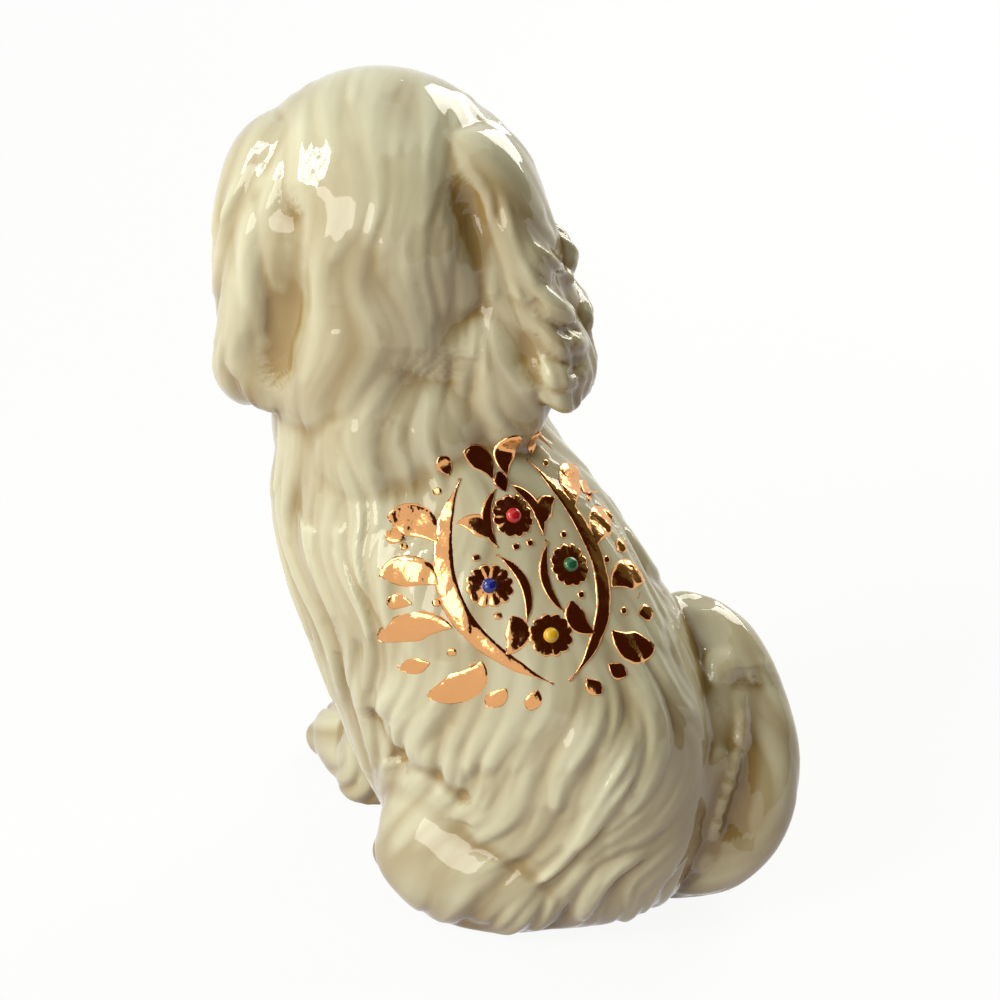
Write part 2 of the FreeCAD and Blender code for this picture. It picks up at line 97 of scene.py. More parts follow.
def level_axes(turn: float) -> np.ndarray:
    """Give forward, left and up for a part of the dog that is turned about the vertical.

    Args:
        turn: The angle from +X to forward, in radians.

    Returns:
        The three directions as rows.
    """
    return np.array([
        [math.cos(turn), math.sin(turn), 0.0],
        [-math.sin(turn), math.cos(turn), 0.0],
        [0.0, 0.0, 1.0],
    ])


BODY_TURN = math.radians(-23.3)
BODY_AXES = level_axes(BODY_TURN)
CHEST_AXES = level_axes(BODY_TURN + math.radians(-27.0))
FACE_AXES = np.array([[0.0, -1.0, 0.0], [1.0, 0.0, 0.0], [0.0, 0.0, 1.0]])


def linear(hex_text: str) -> tuple[float, float, float, float]:
    """Turn an sRGB hex colour to linear light.

    Args:
        hex_text: Six hex digits.

    Returns:
        Red, green, blue and an alpha of one.
    """
    shares = [int(hex_text[i:i + 2], 16) / 255 for i in (0, 2, 4)]
    bent = [s / 12.92 if s <= 0.04045 else ((s + 0.055) / 1.055) ** 2.4 for s in shares]
    return (*bent, 1.0)


def smoothstep(low: float, high: float, value: np.ndarray) -> np.ndarray:
    """Ease from 0 at low to 1 at high.

    Args:
        low: Where the ramp starts.
        high: Where it ends.
        value: What is looked up.

    Returns:
        The eased share of each value.
    """
    share = np.clip((value - low) / (high - low), 0.0, 1.0)
    return share * share * (3 - 2 * share)


def read_values(parts: bpy.types.bpy_prop_collection, name: str, width: int,
                kind: type) -> np.ndarray:
    """Read one property of a mesh's parts.

    Args:
        parts: Its vertices, edges, faces or corners, or the data of an attribute.
        name: The property.
        width: How many numbers each part has.
        kind: Their numpy type.

    Returns:
        One row for each part, or one number where the width is one.
    """
    flat = np.empty(len(parts) * width, kind)
    parts.foreach_get(name, flat)
    return flat.reshape(-1, width) if width > 1 else flat


def add_node(tree: bpy.types.NodeTree, kind: str, inputs: dict | None = None,
             **settings: object) -> bpy.types.Node:
    """Add one shader node with its settings, values and links.

    Args:
        tree: The tree that it joins.
        kind: Its type name.
        inputs: Socket name or number to a value, or to the socket that feeds it.
        **settings: The node's own properties.

    Returns:
        The new node.
    """
    node = tree.nodes.new(kind)
    for name, value in settings.items():
        setattr(node, name, value)
    for name, value in (inputs or {}).items():
        if isinstance(value, bpy.types.NodeSocket):
            tree.links.new(value, node.inputs[name])
        else:
            node.inputs[name].default_value = value
    return node


def new_material(name: str) -> bpy.types.Material:
    """Make a material with an empty tree.

    Args:
        name: What the finish really is.

    Returns:
        The material.
    """
    made = bpy.data.materials.new(name)
    made.use_nodes = True
    made.node_tree.nodes.clear()
    return made


def new_object(name: str, mesh: bpy.types.Mesh) -> bpy.types.Object:
    """Put a mesh in the scene as an object at the origin.

    Args:
        name: The object's name.
        mesh: Its mesh.

    Returns:
        The object.
    """
    made = bpy.data.objects.new(name, mesh)
    bpy.context.scene.collection.objects.link(made)
    return made


def to_object(bm: bmesh.types.BMesh, name: str, smooth: bool = True) -> bpy.types.Object:
    """Turn a finished bmesh to an object at the origin, and free it.

    Args:
        bm: The shape.
        name: Name of the object and of its mesh.
        smooth: Whether its faces are shaded as one round surface.

    Returns:
        The object.
    """
    for face in bm.faces:
        face.smooth = smooth
    mesh = bpy.data.meshes.new(name)
    bm.to_mesh(mesh)
    bm.free()
    return new_object(name, mesh)


class Region:
    """The box of one CAD node in the dog's own axes, where places are shares from -1 to 1."""

    def __init__(self, node: str, axes: np.ndarray) -> None:
        """Measure the node.

        Args:
            node: Its name.
            axes: Forward, left and up of the part of the dog that it belongs to, as rows.
        """
        corners = read_values(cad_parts[node].data.vertices, "co", 3, np.float32)
        local = corners.astype(float) / MM @ axes.T
        low, high = local.min(0), local.max(0)
        self.axes = axes
        self.middle = (low + high) / 2
        self.half = (high - low) / 2

    def shares(self, points: np.ndarray) -> np.ndarray:
        """Turn points in millimetres to shares of the box."""
        return (points @ self.axes.T - self.middle) / self.half

    def point(self, forward: float, left: float, up: float) -> np.ndarray:
        """Turn shares of the box to a point in millimetres."""
        return (self.middle + self.half * np.array([forward, left, up])) @ self.axes

    def heading(self, forward: float, left: float, up: float) -> np.ndarray:
        """Turn a direction along the box's axes to one in the frame."""
        return np.array([forward, left, up]) @ self.axes


REGIONS = {
    node: Region(node, axes)
    for axes, nodes in (
        (BODY_AXES, ("body_shell",)),
        (FACE_AXES, ("head_shell", "left_ear", "right_ear")),
        (CHEST_AXES, ("left_foreleg", "right_foreleg")),
        (BODY_AXES, ("left_hind_paw", "right_hind_paw", "tail")),
    )
    for node in nodes
}


@dataclass(frozen=True)
class Spot:
    """A place on one cast, its reach in millimetres, and the share of the relief kept there."""

    node: str
    place: Place
    reach: float
    keep: float = 0.0

    def weight(self, points: np.ndarray, full: float, end: float) -> np.ndarray:
        """Fade from one inside the spot to nothing outside it.

        Args:
            points: Where, in millimetres.
            full: The weight is one up to this share of the reach.
            end: It is nothing from this share on.

        Returns:
            One weight for each point.
        """
        apart = np.linalg.norm(points - REGIONS[self.node].point(*self.place), axis=1)
        return 1 - smoothstep(full, end, apart / self.reach)


def both(place: Place, way: Place) -> list[tuple[Place, Place]]:
    """Give a row of the comb table and its mirror image on the dog's other side.

    Args:
        place: Forward, left and up shares of the cast's box.
        way: The way that the hair points there.

    Returns:
        The two rows.
    """
    (forward, left, up), (ahead, aside, rise) = place, way
    return [(place, way), ((forward, -left, up), (ahead, -aside, rise))]


# Lie of the fur on each cast: a place as forward, left and up shares of its box, then the
# way that the hair points there, also forward, left and up.
COMB = {
    "body_shell": [
        ((0.35, 0.0, 1.0), (-0.5, 0.0, -0.8)),
        ((0.00, 0.0, 0.8), (-0.5, 0.0, -0.9)),
        *both((0.30, 0.7, 0.75), (-0.1, 0.1, -1.0)),
        ((0.75, 0.0, 0.6), (0.2, 0.0, -1.0)),
        *both((0.80, 0.5, 0.2), (-0.15, 0.0, -1.0)),
        *both((0.55, 0.9, 0.15), (-0.25, 0.0, -1.0)),
        *both((0.45, 1.0, -0.2), (-0.45, 0.0, -1.0)),
        *both((0.05, 1.0, 0.1), (0.05, 0.0, -1.0)),
        *both((-0.10, 1.0, -0.25), (0.45, 0.0, -1.0)),
        *both((-0.25, 0.9, -0.5), (0.9, 0.1, -0.7)),
        *both((0.10, 1.0, -0.75), (1.0, 0.1, -0.25)),
        *both((-0.55, 0.5, 0.0), (-0.15, 0.2, -1.0)),
        ((-0.75, 0.0, -0.2), (-0.25, 0.0, -1.0)),
        *both((-0.75, 0.7, -0.6), (0.35, 0.5, -0.9)),
        *both((-0.90, 0.5, -0.9), (0.5, 0.7, -0.5)),
    ],
    "head_shell": [
        ((0.10, 0.0, 1.0), (-1.0, 0.0, 0.1)),
        ((-0.6, 0.0, 0.8), (-0.6, 0.0, -0.8)),
        ((-0.9, 0.0, 0.0), (0.0, 0.0, -1.0)),
        *both((-0.6, 0.8, 0.0), (-0.1, 0.1, -1.0)),
        ((-0.6, 0.0, -0.9), (0.0, 0.0, -1.0)),
        *both((0.2, 0.9, 0.3), (-0.6, 0.3, -0.8)),
        *both((0.3, 0.6, -0.6), (-0.6, 0.2, -0.8)),
        ((0.5, 0.0, 0.6), (-0.5, 0.0, 0.9)),
        ((0.9, 0.0, -0.2), (-1.0, 0.0, 0.1)),
    ],
    "left_ear": [
        ((0.0, 0.0, 0.9), (-0.1, 0.4, -0.9)),
        ((0.9, 0.5, 0.2), (0.15, 0.05, -1.0)),
        ((-0.9, 0.5, 0.2), (-0.12, 0.0, -1.0)),
        ((0.0, 1.0, 0.0), (0.05, 0.05, -1.0)),
        ((0.6, 0.5, -0.5), (-0.2, 0.0, -1.0)),
        ((-0.6, 0.5, -0.5), (0.15, 0.0, -1.0)),
        ((0.0, 0.0, -0.9), (0.1, -0.2, -1.0)),
    ],
    "right_ear": [
        ((0.0, 0.0, 0.9), (-0.1, -0.4, -0.9)),
        ((0.9, -0.5, 0.2), (0.15, -0.2, -1.0)),
        ((-0.9, -0.5, 0.2), (-0.12, -0.25, -1.0)),
        ((0.0, -1.0, 0.0), (0.1, -0.3, -1.0)),
        ((0.6, -0.5, -0.5), (-0.3, -0.5, -0.8)),
        ((-0.6, -0.5, -0.5), (0.2, -0.6, -0.8)),
        ((0.0, 0.0, -0.9), (0.3, -0.4, -0.8)),
    ],
    **dict.fromkeys(("left_foreleg", "right_foreleg"), [
        ((0.0, 0.0, 0.5), (-0.15, 0.0, -1.0)),
        ((0.6, 0.0, -0.8), (1.0, 0.0, -0.3)),
    ]),
    **dict.fromkeys(("left_hind_paw", "right_hind_paw"), [
        ((0.0, 0.0, 0.0), (1.0, 0.0, -0.2)),
    ]),
    "tail": [
        ((0.0, 0.5, -0.9), (-1.0, -0.2, 0.3)),
        ((-0.8, 0.0, -0.5), (-0.3, -0.2, 1.0)),
        ((-0.9, 0.0, 0.1), (0.0, -0.1, 1.0)),
        ((-0.3, -0.5, 0.6), (0.4, -0.1, 0.9)),
        ((0.5, -0.9, 0.9), (0.8, -0.1, 0.5)),
    ],
}

# Places where the modeller left the clay calm: cast, place in its box, how far the calm
# reaches in millimetres, and the share of the relief that stays there.
CALM = [
    Spot("head_shell", (0.95, 0.0, -0.35), 22.0, 0.03),
    Spot("head_shell", (0.45, 0.45, 0.10), 15.0, 0.05),
    Spot("head_shell", (0.45, -0.45, 0.10), 15.0, 0.05),
    Spot("head_shell", (0.20, 0.0, 0.95), 24.0, 0.20),
    Spot("head_shell", (-0.45, 0.0, 0.75), 26.0, 0.42),
    Spot("head_shell", (-0.85, 0.0, 0.0), 26.0, 0.45),
    Spot("head_shell", (-0.70, 0.1, -0.75), 26.0, 0.50),
    Spot("body_shell", (-0.05, 0.15, 0.55), 26.0, 0.40),
    Spot("body_shell", (-0.10, 0.55, 0.30), 22.0, 0.75),
    Spot("left_ear", (0.0, 0.2, 0.85), 16.0, 0.30),
    Spot("right_ear", (0.0, -0.2, 0.85), 16.0, 0.30),
    Spot("left_foreleg", (0.75, 0.0, -0.85), 20.0, 0.05),
    Spot("right_foreleg", (0.75, 0.0, -0.85), 20.0, 0.05),
    Spot("body_shell", (0.06, 0.90, -0.70), 17.0, 0.03),
    Spot("body_shell", (0.06, -0.90, -0.70), 17.0, 0.03),
    Spot("body_shell", (-0.30, 0.35, 0.10), 26.0, 0.22),
    Spot("left_hind_paw", (0.0, 0.0, 0.0), 16.0, 0.05),
    Spot("right_hind_paw", (0.0, 0.0, 0.0), 16.0, 0.05),
    Spot("tail", (-0.6, -0.2, 0.0), 34.0, 0.16),
    Spot("tail", (0.4, -0.9, 0.9), 20.0, 0.40),
    Spot("body_shell", (-0.10, 0.84, -0.72), 14.0, 0.06),
    Spot("tail", (-0.45, 0.45, 0.20), 13.0, 0.05),
    Spot("tail", (-0.45, 0.75, -0.25), 11.0, 0.05),
    Spot("head_shell", (-0.86, 0.44, 0.15), 8.5, 0.05),
    Spot("head_shell", (-0.84, 0.50, -0.30), 8.5, 0.05),
    Spot("head_shell", (-0.76, 0.62, -0.68), 8.5, 0.05),
    Spot("right_ear", (-0.97, 0.32, 0.22), 7.5, 0.10),
    Spot("right_ear", (-0.98, -0.12, -0.40), 7.5, 0.10),
]

# Places where one lump of clay is blended into the next: cast, place in its box, and how far
# the blending reaches in millimetres.
MELDS = [
    Spot("head_shell", (-0.90, 0.20, -0.22), 12.0),
    Spot("head_shell", (-0.90, -0.30, -0.28), 12.0),
    Spot("head_shell", (-0.85, -0.55, -0.60), 13.0),
    Spot("body_shell", (0.20, 0.40, 0.88), 13.0),
    Spot("right_ear", (-0.85, 0.40, -0.60), 9.0),
    Spot("head_shell", (-0.78, 0.64, -0.68), 8.0),
    Spot("body_shell", (-0.02, 0.85, -0.66), 12.0),
    Spot("tail", (-0.10, 0.30, 0.45), 7.0),
    Spot("tail", (-0.22, 0.75, 0.05), 7.0),
]

# Places smoothed over with a wet thumb once the fur is on: the top of the right foreleg.
THUMBED = [
    Spot("right_foreleg", (0.10, -0.75, 0.95), 8.5),
    Spot("right_foreleg", (0.12, -0.25, 0.97), 8.5),
    Spot("right_foreleg", (0.10, 0.25, 0.97), 8.0),
]


@dataclass(frozen=True)
class Strand:
    """One kind of lock that the modelling tool draws through the clay, in millimetres."""

    width: float
    length: float
    height: float
    spacing: float  # from one lock's root to the next
    lean: float  # how far the crest lies to one side
    seed: int
    step: float = 0.8  # of the tool along the lock


@dataclass(frozen=True)
class Groove:
    """One line pressed or raised by hand, through places in a cast's box, in millimetres."""

    node: str
    places: tuple[Place, ...]
    width: float
    depth: float
    fray: float = 0.0  # unevenness along the line, as a share of its depth


class Skin:
    """The joined outer skin as arrays, in millimetres, with what is modelled on it."""

    COMB_REACH = 0.42  # in half boxes: how far one row of the comb table reaches
    COMB_ROUNDS = 40
    SWAY = 0.30  # share of chance in the lie of the hair
    SWAY_REACH = 24.0
    SWAY_SEED = 11
    BORDER_ROUNDS = 14  # of evening out the borders between the casts
    HOPS = 4  # from vertex to vertex within one step of a walk
    CUBES = 4096  # more than there are along any axis
    LEAST_KEEP = 0.08  # no lock begins where less of the relief stays
    TOOL_STEP = 0.7
    TOOL_ROUNDS = 4  # of steadying the hand that draws a line

    def __init__(self, mesh: bpy.types.Mesh) -> None:
        """Read a mesh.

        Args:
            mesh: The remeshed skin, in metres.
        """
        self.mesh = mesh
        self.points = read_values(mesh.vertices, "co", 3, np.float32).astype(float) / MM
        self.ends = read_values(mesh.edges, "vertices", 2, np.int32)
        self.links = np.bincount(self.ends.ravel(), minlength=len(self.points)).astype(float)
        self.around = self.neighbour_table()
        self.normals = self.read_normals()

    def neighbour_table(self) -> np.ndarray:
        """List the neighbours of each vertex.

        Returns:
            One row of vertex numbers for each, filled up with the vertex itself.
        """
        count, most = len(self.points), int(self.links.max())
        start = np.concatenate([self.ends[:, 0], self.ends[:, 1]])
        end = np.concatenate([self.ends[:, 1], self.ends[:, 0]])
        order = np.argsort(start, kind="stable")
        start, end = start[order], end[order]
        first = np.searchsorted(start, np.arange(count))
        table = np.repeat(np.arange(count)[:, None], most, axis=1)
        table[start, np.arange(len(start)) - first[start]] = end
        return table

    def read_normals(self) -> np.ndarray:
        """Move the mesh to the points as they are now.

        Returns:
            Its normals there.
        """
        self.mesh.vertices.foreach_set("co", (self.points * MM).astype(np.float32).ravel())
        self.mesh.update()
        return read_values(self.mesh.vertex_normals, "vector", 3, np.float32).astype(float)

    def neighbour_mean(self, values: np.ndarray) -> np.ndarray:
        """Average each vertex's neighbours.

        Args:
            values: One row per vertex.

        Returns:
            The averages, in the same shape.
        """
        one, two = self.ends[:, 0], self.ends[:, 1]
        count = len(values)
        total = np.empty_like(values)
        for column in range(values.shape[1]):
            of_one = np.bincount(one, values[two, column], count)
            total[:, column] = of_one + np.bincount(two, values[one, column], count)
        return total / self.links[:, None]

    def settle(self, values: np.ndarray, rounds: int,
               share: np.ndarray | float = 0.5) -> np.ndarray:
        """Even out values over the skin.

        Args:
            values: One row per vertex.
            rounds: How often.
            share: How far each value goes to its neighbours' average each time.

        Returns:
            The evened values.
        """
        for _ in range(rounds):
            values = values + share * (self.neighbour_mean(values) - values)
        return values

    def soften(self, rounds: int, share: np.ndarray | float) -> None:
        """Round off the skin's corners and creases."""
        self.points = self.settle(self.points, rounds, share)
        self.normals = self.read_normals()

    def meld(self, spots: list[Spot], rounds: int) -> None:
        """Blend the clay where one lump meets the next.

        Args:
            spots: Where.
            rounds: How often they are smoothed over.
        """
        share = np.zeros(len(self.points))
        for spot in spots:
            share = np.maximum(share, spot.weight(self.points, 0.5, 1.2))
        self.soften(rounds, (0.5 * share)[:, None])

    def label(self, casts: list[str]) -> None:
        """Note the cast that each vertex belongs to, with even borders.

        Args:
            casts: The names of the CAD nodes of clay.
        """
        corners, faces, owners = [], [], []
        for number, name in enumerate(casts):
            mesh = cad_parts[name].data
            base = len(corners)
            corners.extend(v.co / MM for v in mesh.vertices)
            faces.extend([base + i for i in p.vertices] for p in mesh.polygons)
            owners.extend([number] * len(mesh.polygons))
        tree = BVHTree.FromPolygons(corners, faces)
        found = [tree.find_nearest(Vector(p))[2] for p in self.points]
        chosen = np.array(owners)[np.array(found)]
        shares = self.settle(np.eye(len(casts))[chosen], self.BORDER_ROUNDS)
        self.casts = casts
        self.cast = shares.argmax(1)

    def comb(self) -> None:
        """Lay the direction of the hair over the skin from the comb tables."""
        way = np.zeros_like(self.points)
        for number, name in enumerate(self.casts):
            if name not in COMB:
                continue
            mine = self.cast == number
            region = REGIONS[name]
            places = region.shares(self.points[mine])
            total = np.zeros((mine.sum(), 3))
            for place, heading in COMB[name]:
                apart = ((places - np.array(place)) ** 2).sum(1)
                weight = np.exp(-apart / (2 * self.COMB_REACH ** 2)) + TINY
                total += weight[:, None] * region.heading(*heading)
            way[mine] = total / np.linalg.norm(total, axis=1)[:, None]
        way = self.settle(way, self.COMB_ROUNDS)
        way += self.SWAY * self.drift(self.SWAY_REACH, self.SWAY_SEED)
        way -= (way * self.normals).sum(1)[:, None] * self.normals
        self.way = way / (np.linalg.norm(way, axis=1)[:, None] + TINY)

    def drift(self, reach: float, seed: int, count: int = 24) -> np.ndarray:
        """Draw a smooth random direction field.

        Args:
            reach: Size of its waves in millimetres.
            seed: Start of the random draws.
            count: How many waves it mixes.

        Returns:
            One vector per vertex, with parts from about -1 to 1.
        """
        draw = np.random.default_rng(seed)
        usual_length = 1.7  # of three normal draws taken as a vector
        waves = draw.normal(size=(3, count)) * 2 * math.pi / reach / usual_length
        phases = draw.uniform(0, 2 * math.pi, count)
        mix = draw.normal(size=(count, 3)) / math.sqrt(count / 2)
        return np.sin(self.points @ waves + phases) @ mix

    def calm(self) -> np.ndarray:
        """Collect the places that the modeller left calm.

        Returns:
            The share of the relief that stays at each vertex.
        """
        stay = np.ones(len(self.points))
        for spot in CALM:
            stay *= 1 - (1 - spot.keep) * spot.weight(self.points, 0.55, 1.25)
        return stay

    def seeds(self, spacing: float, seed: int) -> np.ndarray:
        """Pick vertices evenly over the skin.

        Args:
            spacing: Cell size in millimetres.
            seed: Start of the random draws.

        Returns:
            Their numbers, in a random order.
        """
        draw = np.random.default_rng(seed)
        order = draw.permutation(len(self.points))
        moved = self.points[order] + draw.uniform(0, spacing, 3)
        _, first = np.unique(np.floor(moved / spacing).astype(int), axis=0, return_index=True)
        picked = order[first]
        return picked[draw.permutation(len(picked))]

    def walk(self, start: np.ndarray, step: float,
             count: int) -> list[tuple[np.ndarray, np.ndarray]]:
        """Follow the hair over the skin from many vertices at once.

        Args:
            start: The vertices.
            step: Length of one step in millimetres, negative against the hair.
            count: How many steps.

        Returns:
            For each step the vertices passed and their exact points.
        """
        here = start.copy()
        point = self.points[here].copy()
        steps = [(here.copy(), point.copy())]
        for _ in range(count):
            point = point + self.way[here] * step
            for _ in range(self.HOPS):
                near = np.concatenate([here[:, None], self.around[here]], axis=1)
                apart = ((self.points[near] - point[:, None]) ** 2).sum(2)
                here = near[np.arange(len(here)), apart.argmin(1)]
            off = ((point - self.points[here]) * self.normals[here]).sum(1)
            point = point - off[:, None] * self.normals[here]
            steps.append((here.copy(), point.copy()))
        return steps

    def cube_codes(self, points: np.ndarray, size: float) -> np.ndarray:
        """Number the cubes of space that points lie in."""
        keys = np.floor(points / size).astype(int)
        return (keys[:, 0] * self.CUBES + keys[:, 1]) * self.CUBES + keys[:, 2]

    def cells(self, size: float) -> tuple[dict[int, np.ndarray], float]:
        """Sort the vertices into cubes of space.

        Args:
            size: Edge of a cube in millimetres.

        Returns:
            The vertices in each cube by its number, and the size.
        """
        code = self.cube_codes(self.points, size)
        order = np.argsort(code, kind="stable")
        values, first = np.unique(code[order], return_index=True)
        groups = np.split(order, first[1:])
        return dict(zip(values.tolist(), groups)), size

    def near_path(self, cells: tuple[dict[int, np.ndarray], float], path: np.ndarray,
                  reach: float) -> np.ndarray:
        """Find the vertices in the cubes round a path.

        Args:
            cells: The vertices sorted into cubes.
            path: Its points.
            reach: How far from it, in millimetres.

        Returns:
            The vertices.
        """
        held, size = cells
        ends = (-1, 1)
        offsets = np.array([(x, y, z) for x in ends for y in ends for z in ends]) * reach
        round_path = (path[:, None] + offsets[None]).reshape(-1, 3)
        code = np.unique(self.cube_codes(round_path, size))
        groups = [held[c] for c in code.tolist() if c in held]
        return np.concatenate(groups) if groups else np.empty(0, int)

    def across(self, near: np.ndarray, path: np.ndarray, facing: np.ndarray
               ) -> tuple[np.ndarray, np.ndarray, np.ndarray, np.ndarray, np.ndarray]:
        """Measure vertices against a path.

        Args:
            near: The vertices.
            path: Its points.
            facing: The skin's normal at each point.

        Returns:
            For each vertex the nearest point's number, how far along, how far to the left
            and how far off the skin it lies, and which way left is.
        """
        along = np.gradient(path, axis=0)
        along /= np.linalg.norm(along, axis=1)[:, None] + TINY
        side = np.cross(facing, along)
        points = self.points[near]
        apart = ((points ** 2).sum(1)[:, None] - 2 * points @ path.T
                 + (path ** 2).sum(1)[None])
        nearest = apart.argmin(1)
        gap = points - path[nearest]
        return (nearest, (gap * along[nearest]).sum(1), (gap * side[nearest]).sum(1),
                (gap * facing[nearest]).sum(1), side[nearest])

    def lay(self, strand: Strand, keep: np.ndarray) -> np.ndarray:
        """Model one layer of locks over the whole skin.

        Args:
            strand: The kind of lock.
            keep: Share of the relief that stays at each vertex.

        Returns:
            The height of the layer, in millimetres.
        """
        draw = np.random.default_rng(strand.seed)
        start = self.seeds(strand.spacing, strand.seed)
        start = start[keep[start] > self.LEAST_KEEP]
        half = int(strand.length * 1.25 / strand.step / 2)
        back = self.walk(start, -strand.step, half)
        ahead = self.walk(start, strand.step, half)
        track = [s for s in reversed(back[1:])] + ahead
        numbers = np.stack([s[0] for s in track], axis=1)
        paths = np.stack([s[1] for s in track], axis=1)
        cells = self.cells(max(2.5, strand.width))
        height = np.zeros(len(self.points))
        pull = np.zeros_like(self.points)
        full = paths.shape[1]
        for row in range(len(start)):
            # Every lock has its own width and length.
            size = draw.uniform(0.65, 1.35)
            used = min(full, max(6, int(full * draw.uniform(0.65, 1.0))))
            skip = (full - used) // 2
            path = paths[row, skip:skip + used]
            facing = self.normals[numbers[row, skip:skip + used]]
            near = self.near_path(cells, path, strand.width * size * 0.5)
            if not len(near):
                continue
            nearest, beside, left, off, side = self.across(near, path, facing)
            share = np.clip((nearest + beside / strand.step) / (used - 1), 0, 1)
            # Round at the root, broadest before the middle and drawn out to a point.
            wide = (strand.width * size * 0.5
                    * (share + 0.04) ** 0.35 * (1.03 - share) ** 0.55 * 1.65)
            u = left / wide
            good = (np.abs(u) < 1) & (np.abs(off) < strand.width)
            good &= np.abs(beside) < strand.step * 1.6
            good &= (self.normals[near] * facing[nearest]).sum(1) > 0.2
            # It lifts off gently at the root and ends in a step at the tip.
            rise = np.minimum(share / 0.35, 1.0) * np.minimum((1 - share) / 0.12, 1.0)
            bump = (1 - u * u) * (1 + strand.lean * u) * draw.uniform(0.35, 1.0) * rise
            good &= bump > height[near]
            near = near[good]
            height[near] = bump[good]
            pull[near] = -side[good] * (u * share)[good, None]
        # Finer locks fan out over the sides of this one.
        self.way = self.way + 0.35 * self.settle(pull, 3)
        self.way /= np.linalg.norm(self.way, axis=1)[:, None] + TINY
        return height * strand.height

    def press(self, groove: Groove) -> None:
        """Press or raise one hand-drawn line.

        Args:
            groove: The line, whose depth is negative where it is raised.
        """
        region = REGIONS[groove.node]
        knots = np.array([region.point(*place) for place in groove.places])
        length = np.linalg.norm(np.diff(knots, axis=0), axis=1).sum()
        count = max(8, int(length / self.TOOL_STEP))
        path = np.array([self.points[np.argmin(((self.points - point) ** 2).sum(1))]
                         for point in smooth_line(knots, count)])
        for _ in range(self.TOOL_ROUNDS):
            path[1:-1] = (path[:-2] + 2 * path[1:-1] + path[2:]) / 4
        apart = np.full(len(self.points), 1e9)
        where = np.zeros(len(self.points))
        box = (self.points > path.min(0) - groove.width * 2).all(1)
        box &= (self.points < path.max(0) + groove.width * 2).all(1)
        near = np.nonzero(box)[0]
        for number, point in enumerate(path):
            gap = np.linalg.norm(self.points[near] - point, axis=1)
            closer = gap < apart[near]
            apart[near[closer]] = gap[closer]
            where[near[closer]] = number / (count - 1)
        # The line runs out at both ends, and a frayed one is uneven along its length.
        taper = np.minimum(1.0, np.minimum(where, 1 - where) * 6 + 0.15)
        depth = groove.depth * taper * np.exp(-(apart / (groove.width / 2)) ** 2)
        depth = depth * (1 + groove.fray * (np.sin(where * 37) + np.sin(where * 59)))
        self.points = self.points - depth[:, None] * self.normals

    def raise_lid(self, node: str) -> None:
        """Fold the clay up round one eye, more above it than below.

        Args:
            node: The eye's CAD node.
        """
        low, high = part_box(node)
        middle = np.array((low + high) / 2) / MM
        radius = (high.x - low.x) / 2 / MM
        gap = self.points - middle
        apart = np.linalg.norm(gap, axis=1)
        rim, half_width, height = 0.5, 1.3, 1.5
        fold = np.exp(-((apart - radius - rim) / half_width) ** 2)
        above = 0.75 + 0.45 * np.clip(gap[:, 2] / radius, -1, 1)
        self.points = self.points + (fold * above * height)[:, None] * self.normals


def smooth_line(knots: np.ndarray, count: int) -> np.ndarray:
    """Draw a curve through a few points.

    Args:
        knots: The points.
        count: How many points the curve gets.

    Returns:
        The points of the curve.
    """
    if len(knots) == 2:
        return knots[0] + np.linspace(0, 1, count)[:, None] * (knots[1] - knots[0])
    padded = np.vstack([2 * knots[0] - knots[1], knots, 2 * knots[-1] - knots[-2]])
    found = []
    for t in np.linspace(0, len(knots) - 1 - 1e-6, count):
        i, s = int(t), t - int(t)
        a, b, c, d = padded[i:i + 4]
        found.append(0.5 * (2 * b + (c - a) * s + (2 * a - 5 * b + 4 * c - d) * s ** 2
                            + (3 * b - a - 3 * c + d) * s ** 3))
    return np.array(found)


@dataclass(frozen=True)
class Lump:
    """One pellet of clay pressed on before the skin is smoothed, sizes in millimetres."""

    node: str
    place: Place
    half: Place

    def add(self, bm: bmesh.types.BMesh) -> None:
        """Add the pellet to the clay.

        Args:
            bm: The clay.
        """
        region = REGIONS[self.node]
        axes = Matrix([[float(x) for x in row] for row in region.axes]).transposed()
        scale = Matrix.Diagonal([h * MM for h in self.half])
        place = Matrix.Translation(Vector(region.point(*self.place) * MM))
        bmesh.ops.create_icosphere(bm, subdivisions=3, radius=1.0,
                                   matrix=place @ (axes @ scale).to_4x4())


@dataclass(frozen=True)
class Curl:
    """One rolled lock of clay laid along a curve, thick in the middle, in millimetres."""

    node: str
    places: tuple[Place, ...]
    belly: float
    tip: float
    root: float = 0.8
    pitch: float = 0.35  # from ball to ball, as a share of the thickest one's radius

    def add(self, bm: bmesh.types.BMesh) -> None:
        """Add the lock to the clay as a run of balls.

        Args:
            bm: The clay.
        """
        knots = np.array([REGIONS[self.node].point(*place) for place in self.places])
        length = np.linalg.norm(np.diff(knots, axis=0), axis=1).sum()
        count = max(4, int(length / (self.pitch * self.belly)))
        line = smooth_line(knots, count)
        for number, point in enumerate(line):
            share = number / (count - 1)
            side = self.root if share < 0.5 else self.tip
            radius = side + (self.belly - side) * math.sin(math.pi * share)
            bmesh.ops.create_icosphere(bm, subdivisions=2, radius=radius * MM,
                                       matrix=Matrix.Translation(Vector(point * MM)))


